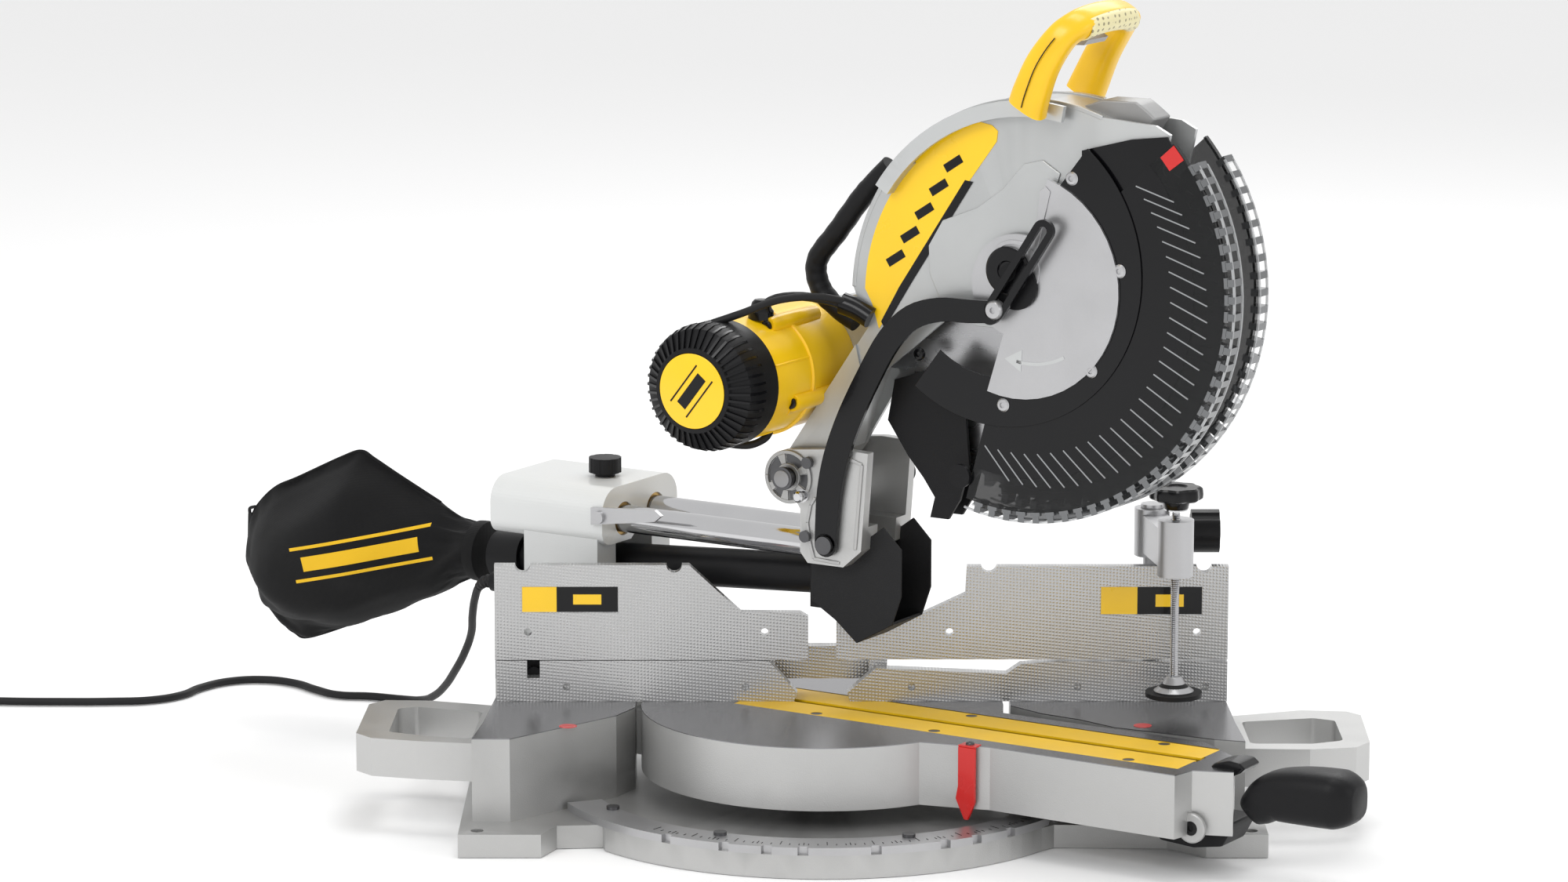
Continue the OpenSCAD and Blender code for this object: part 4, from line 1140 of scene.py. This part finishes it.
def add_clamp():
    """Threaded spindle, lobed knob and foot cone of the clamp."""
    x, y = 272, -35
    pitch = 1.5
    profile = [(2.9, 111)]
    z = 112
    while z < 244:
        profile += [(3.5, z), (2.9, z + pitch / 2)]
        z += pitch
    profile += [(3.5, 245), (9, 245.5), (9, 253.5)]
    rod = build("clamp_spindle_rod", [lathe(profile, (x, y, 0), "z", 20)], CHROME, "clamp_spindle",
                space=BASE, sharp=60)
    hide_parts("clamp_screw")
    knob = []
    steps = 96
    rings = [(17.5, 253.6), (19.6, 255), (20, 258), (19.4, 262.6), (17.6, 264), (9, 264.2), (8, 263),
             (0.2, 263)]
    verts = []
    for r, zz in rings:
        for k in range(steps):
            a = 2 * math.pi * k / steps
            wave = 1 + 0.055 * math.cos(8 * a) * (1 if r > 12 else 0)
            verts.append((x + r * wave * math.cos(a), y + r * wave * math.sin(a), zz))
    faces = [[i * steps + k, i * steps + (k + 1) % steps, (i + 1) * steps + (k + 1) % steps,
              (i + 1) * steps + k] for i in range(len(rings) - 1) for k in range(steps)]
    faces += [list(range(steps))[::-1], list(range((len(rings) - 1) * steps, len(rings) * steps))]
    knob.append((verts, faces))
    knob.append(lathe([(8.5, 246), (9.4, 247), (10.5, 252), (14, 254)], (x, y, 0), "z", 32))
    top = build("clamp_knob", knob, GLOSS_BLACK, "clamp_spindle", space=BASE)
    profile = [(15, 102.1), (15.5, 103), (9, 108), (6.5, 113), (5.2, 114)]
    cone = build("clamp_foot_cone", [lathe(profile, (x, y, 0), "z", 36)], ZINC, "clamp_shoe", space=BASE)


def add_labels():
    """Plain warning-style plates on the fences: a yellow field and a dark field, no signs."""
    y0 = 9.5
    for name, body, x0, x1, z0, z1 in (("left", "fence_left", -234.4, -159.6, 155, 175),
                                       ("right", "fence_right", 217.6, 296.4, 153.2, 175)):
        third = x0 + (x1 - x0) * 0.36
        for part, a, b, m in (("yellow", x0, third, DECAL_YELLOW), ("dark", third, x1, GLOSS_BLACK)):
            plate = build(f"fence_label_{name}_{part}", [block((a, y0, z0), (b, y0 + 0.4, z1))], m, body,
                          space=BASE)
        mid = (third + x1) / 2
        bar = build(f"fence_label_{name}_bar", [block((mid - 11, y0 - 0.2, z0 + 6), (mid + 11, y0, z1 - 6))],
                    DECAL_YELLOW, body, space=BASE)


def add_lever():
    """Moulded miter lock grip."""
    path = smooth_path([(-2, -380, 50), (-2, -386, 56), (-2, -399, 65), (-2, -420, 68), (-2, -444, 69),
                        (-2, -460, 69), (-2, -467, 69)], 6)

    def radius(t):
        return 12 + 10.5 * math.sin(min(1, t * 1.5) * math.pi / 2) - 11 * max(0, t - 0.72) ** 1.2 / 0.24

    shape = sweep(path, radius, 32, (3.2, 1.0, 0.95), side_hint=(0, 0.05, 1))
    grip = build("miter_lever_grip", [shape], BLACK, "miter_lock", sharp=70)
    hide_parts("miter_lock_lever")


def add_arm_front():
    """Pin hub with its screw, and dark housing under the arm's tip."""
    profile = [(11.5, -34), (11.5, -36.6), (10.4, -37.4), (5.6, -37.4), (5.4, -35.6), (0.2, -35.6)]
    hub = build("arm_pin_hub", [lathe(profile, (0, -345, 40), "x", 36)], CAST, "turntable")
    profile = [(5.2, -35.7), (5.2, -36.9), (2.4, -37), (2.2, -36), (0.1, -36)]
    pin = build("arm_pin_screw", [lathe(profile, (0, -345, 40), "x", 20)], GLOSS_BLACK, "turntable")
    outline = [(-300, 33.8), (-310, 22), (-338, 20), (-362, 24), (-371, 40), (-371, 44), (-352, 44),
               (-352, 33.8)]
    under = build("arm_tip_housing", [prism(outline, -20, 18)], BLACK, "turntable", bevel=2)


def add_bracket_trim():
    """Pocketed hub with painted shade in its pockets, ribs and stop bolt on the pivot bracket's camera side.
    """
    x0, x1 = -38.4, -36.45
    parts = [sector(HUB, 18, 21, -180, 180, x0, x1, 48), sector(HUB, 7.4, 10.6, -180, 180, x0, x1, 48)]
    for a in (-150, -100, -40, 25, 110):
        parts.append(sector(HUB, 10.4, 18.2, a - 11, a + 11, x0, x1, 6))
    rim = [(-16, 256), (-12, 250), (-9, 236), (-11, 222), (-15, 208), (-38, 207), (-52, 219), (-58, 286),
           (-37, 292)]
    for k in range(len(rim) - 1):
        a, b = Vector(rim[k]), Vector(rim[k + 1])
        run = (b - a).normalized()
        across = Vector((-run.y, run.x)) * 1.3
        if a.x > -20 or b.y > 280:
            edge = [tuple(a + across), tuple(b + across), tuple(b - across), tuple(a - across)]
            parts.append(prism(edge, x0 + 0.6, x1))
    ribs = build("bracket_ribs", parts, CAST, "carriage", bevel=0.5)
    # thin dark plates on the floors of the hub's pockets: painted shade in the hollows of the casting
    pockets = []
    for a0, a1 in ((-137, -113), (-86, -54), (-27, 11), (39, 96), (124, 196)):
        pockets.append(sector(HUB, 11, 17.6, a0, a1, -36.75, -36.45, 10))
    shade = build("bracket_pocket_painted_shade", pockets, DARK_STEEL_AND_SHADE, "carriage")
    profile = [(5.2, -36.5), (5.2, -40), (3, -40.4), (3, -43), (4.4, -43.4), (4.4, -46.4), (3, -47.6),
               (0.2, -47.8)]
    bolt = build("bracket_stop_bolt", [lathe(profile, (0, -6, 257), "x", 24)], CHROME, "carriage")
    hub_cap = build("bracket_hub_cap", [lathe([(6.6, -47), (6.6, -47.8), (5.8, -48.2), (0.2, -48.2)],
                                              tuple(HUB), "x", 32)], GREY, "carriage")


def add_paddle():
    """Thumb paddle that lifts the detent pin, set into the arm's tip."""
    outline = [(-346, 80), (-352, 86), (-364, 89.5), (-373, 89), (-378, 85), (-374, 81), (-366, 77),
               (-356, 76)]
    paddle = build("detent_paddle_plate", [prism(outline, -15, 11)], GLOSS_BLACK, "detent_paddle", bevel=1.5)
    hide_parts("detent_override")


def add_base_trim():
    """Scale ticks on the detent plate and the plain red marks on the wings."""
    ticks = []
    for i in range(-50, 51):
        if i % 5 and abs(i) % 2:
            continue
        long = 9 if i % 10 == 0 else 6 if i % 5 == 0 else 3.5
        a = math.radians(-90 + 10.7 + i)
        r0, r1, w = 203 - long, 203, 0.35
        c, s = math.cos(a), math.sin(a)
        pts = [(r0 * c - w * s, r0 * s + w * c), (r1 * c - w * s, r1 * s + w * c),
               (r1 * c + w * s, r1 * s - w * c), (r0 * c + w * s, r0 * s - w * c)]
        verts = [(x, y, z) for z in (24.02, 24.2) for x, y in pts]
        faces = [[0, 1, 2, 3], [7, 6, 5, 4]] + [[k, (k + 1) % 4, 4 + (k + 1) % 4, 4 + k] for k in range(4)]
        ticks.append((verts, faces))
    marks = build("detent_scale_ticks", ticks, GLOSS_BLACK, "base", space=BASE)
    profile = [(7, 83.32), (7, 83.5), (0.1, 83.5)]
    for name, x, y in (("left_wing_mark", -196, -72), ("right_wing_mark", 246, -70)):
        mark = build(name, [lathe(profile, (x, y, 0), "z", 28)], RED, "base", space=BASE)


add_camera()
add_studio()
line, plug, relief, tie = add_cord()
dress_cad()
add_bag()
add_lower_guard()
add_head_trim()
add_handle()
add_carry_handle()
add_pointer()
add_motor()
add_link()
add_chute_boot()
add_clamp()
add_labels()
add_lever()
add_arm_front()
add_bracket_trim()
add_paddle()
add_base_trim()
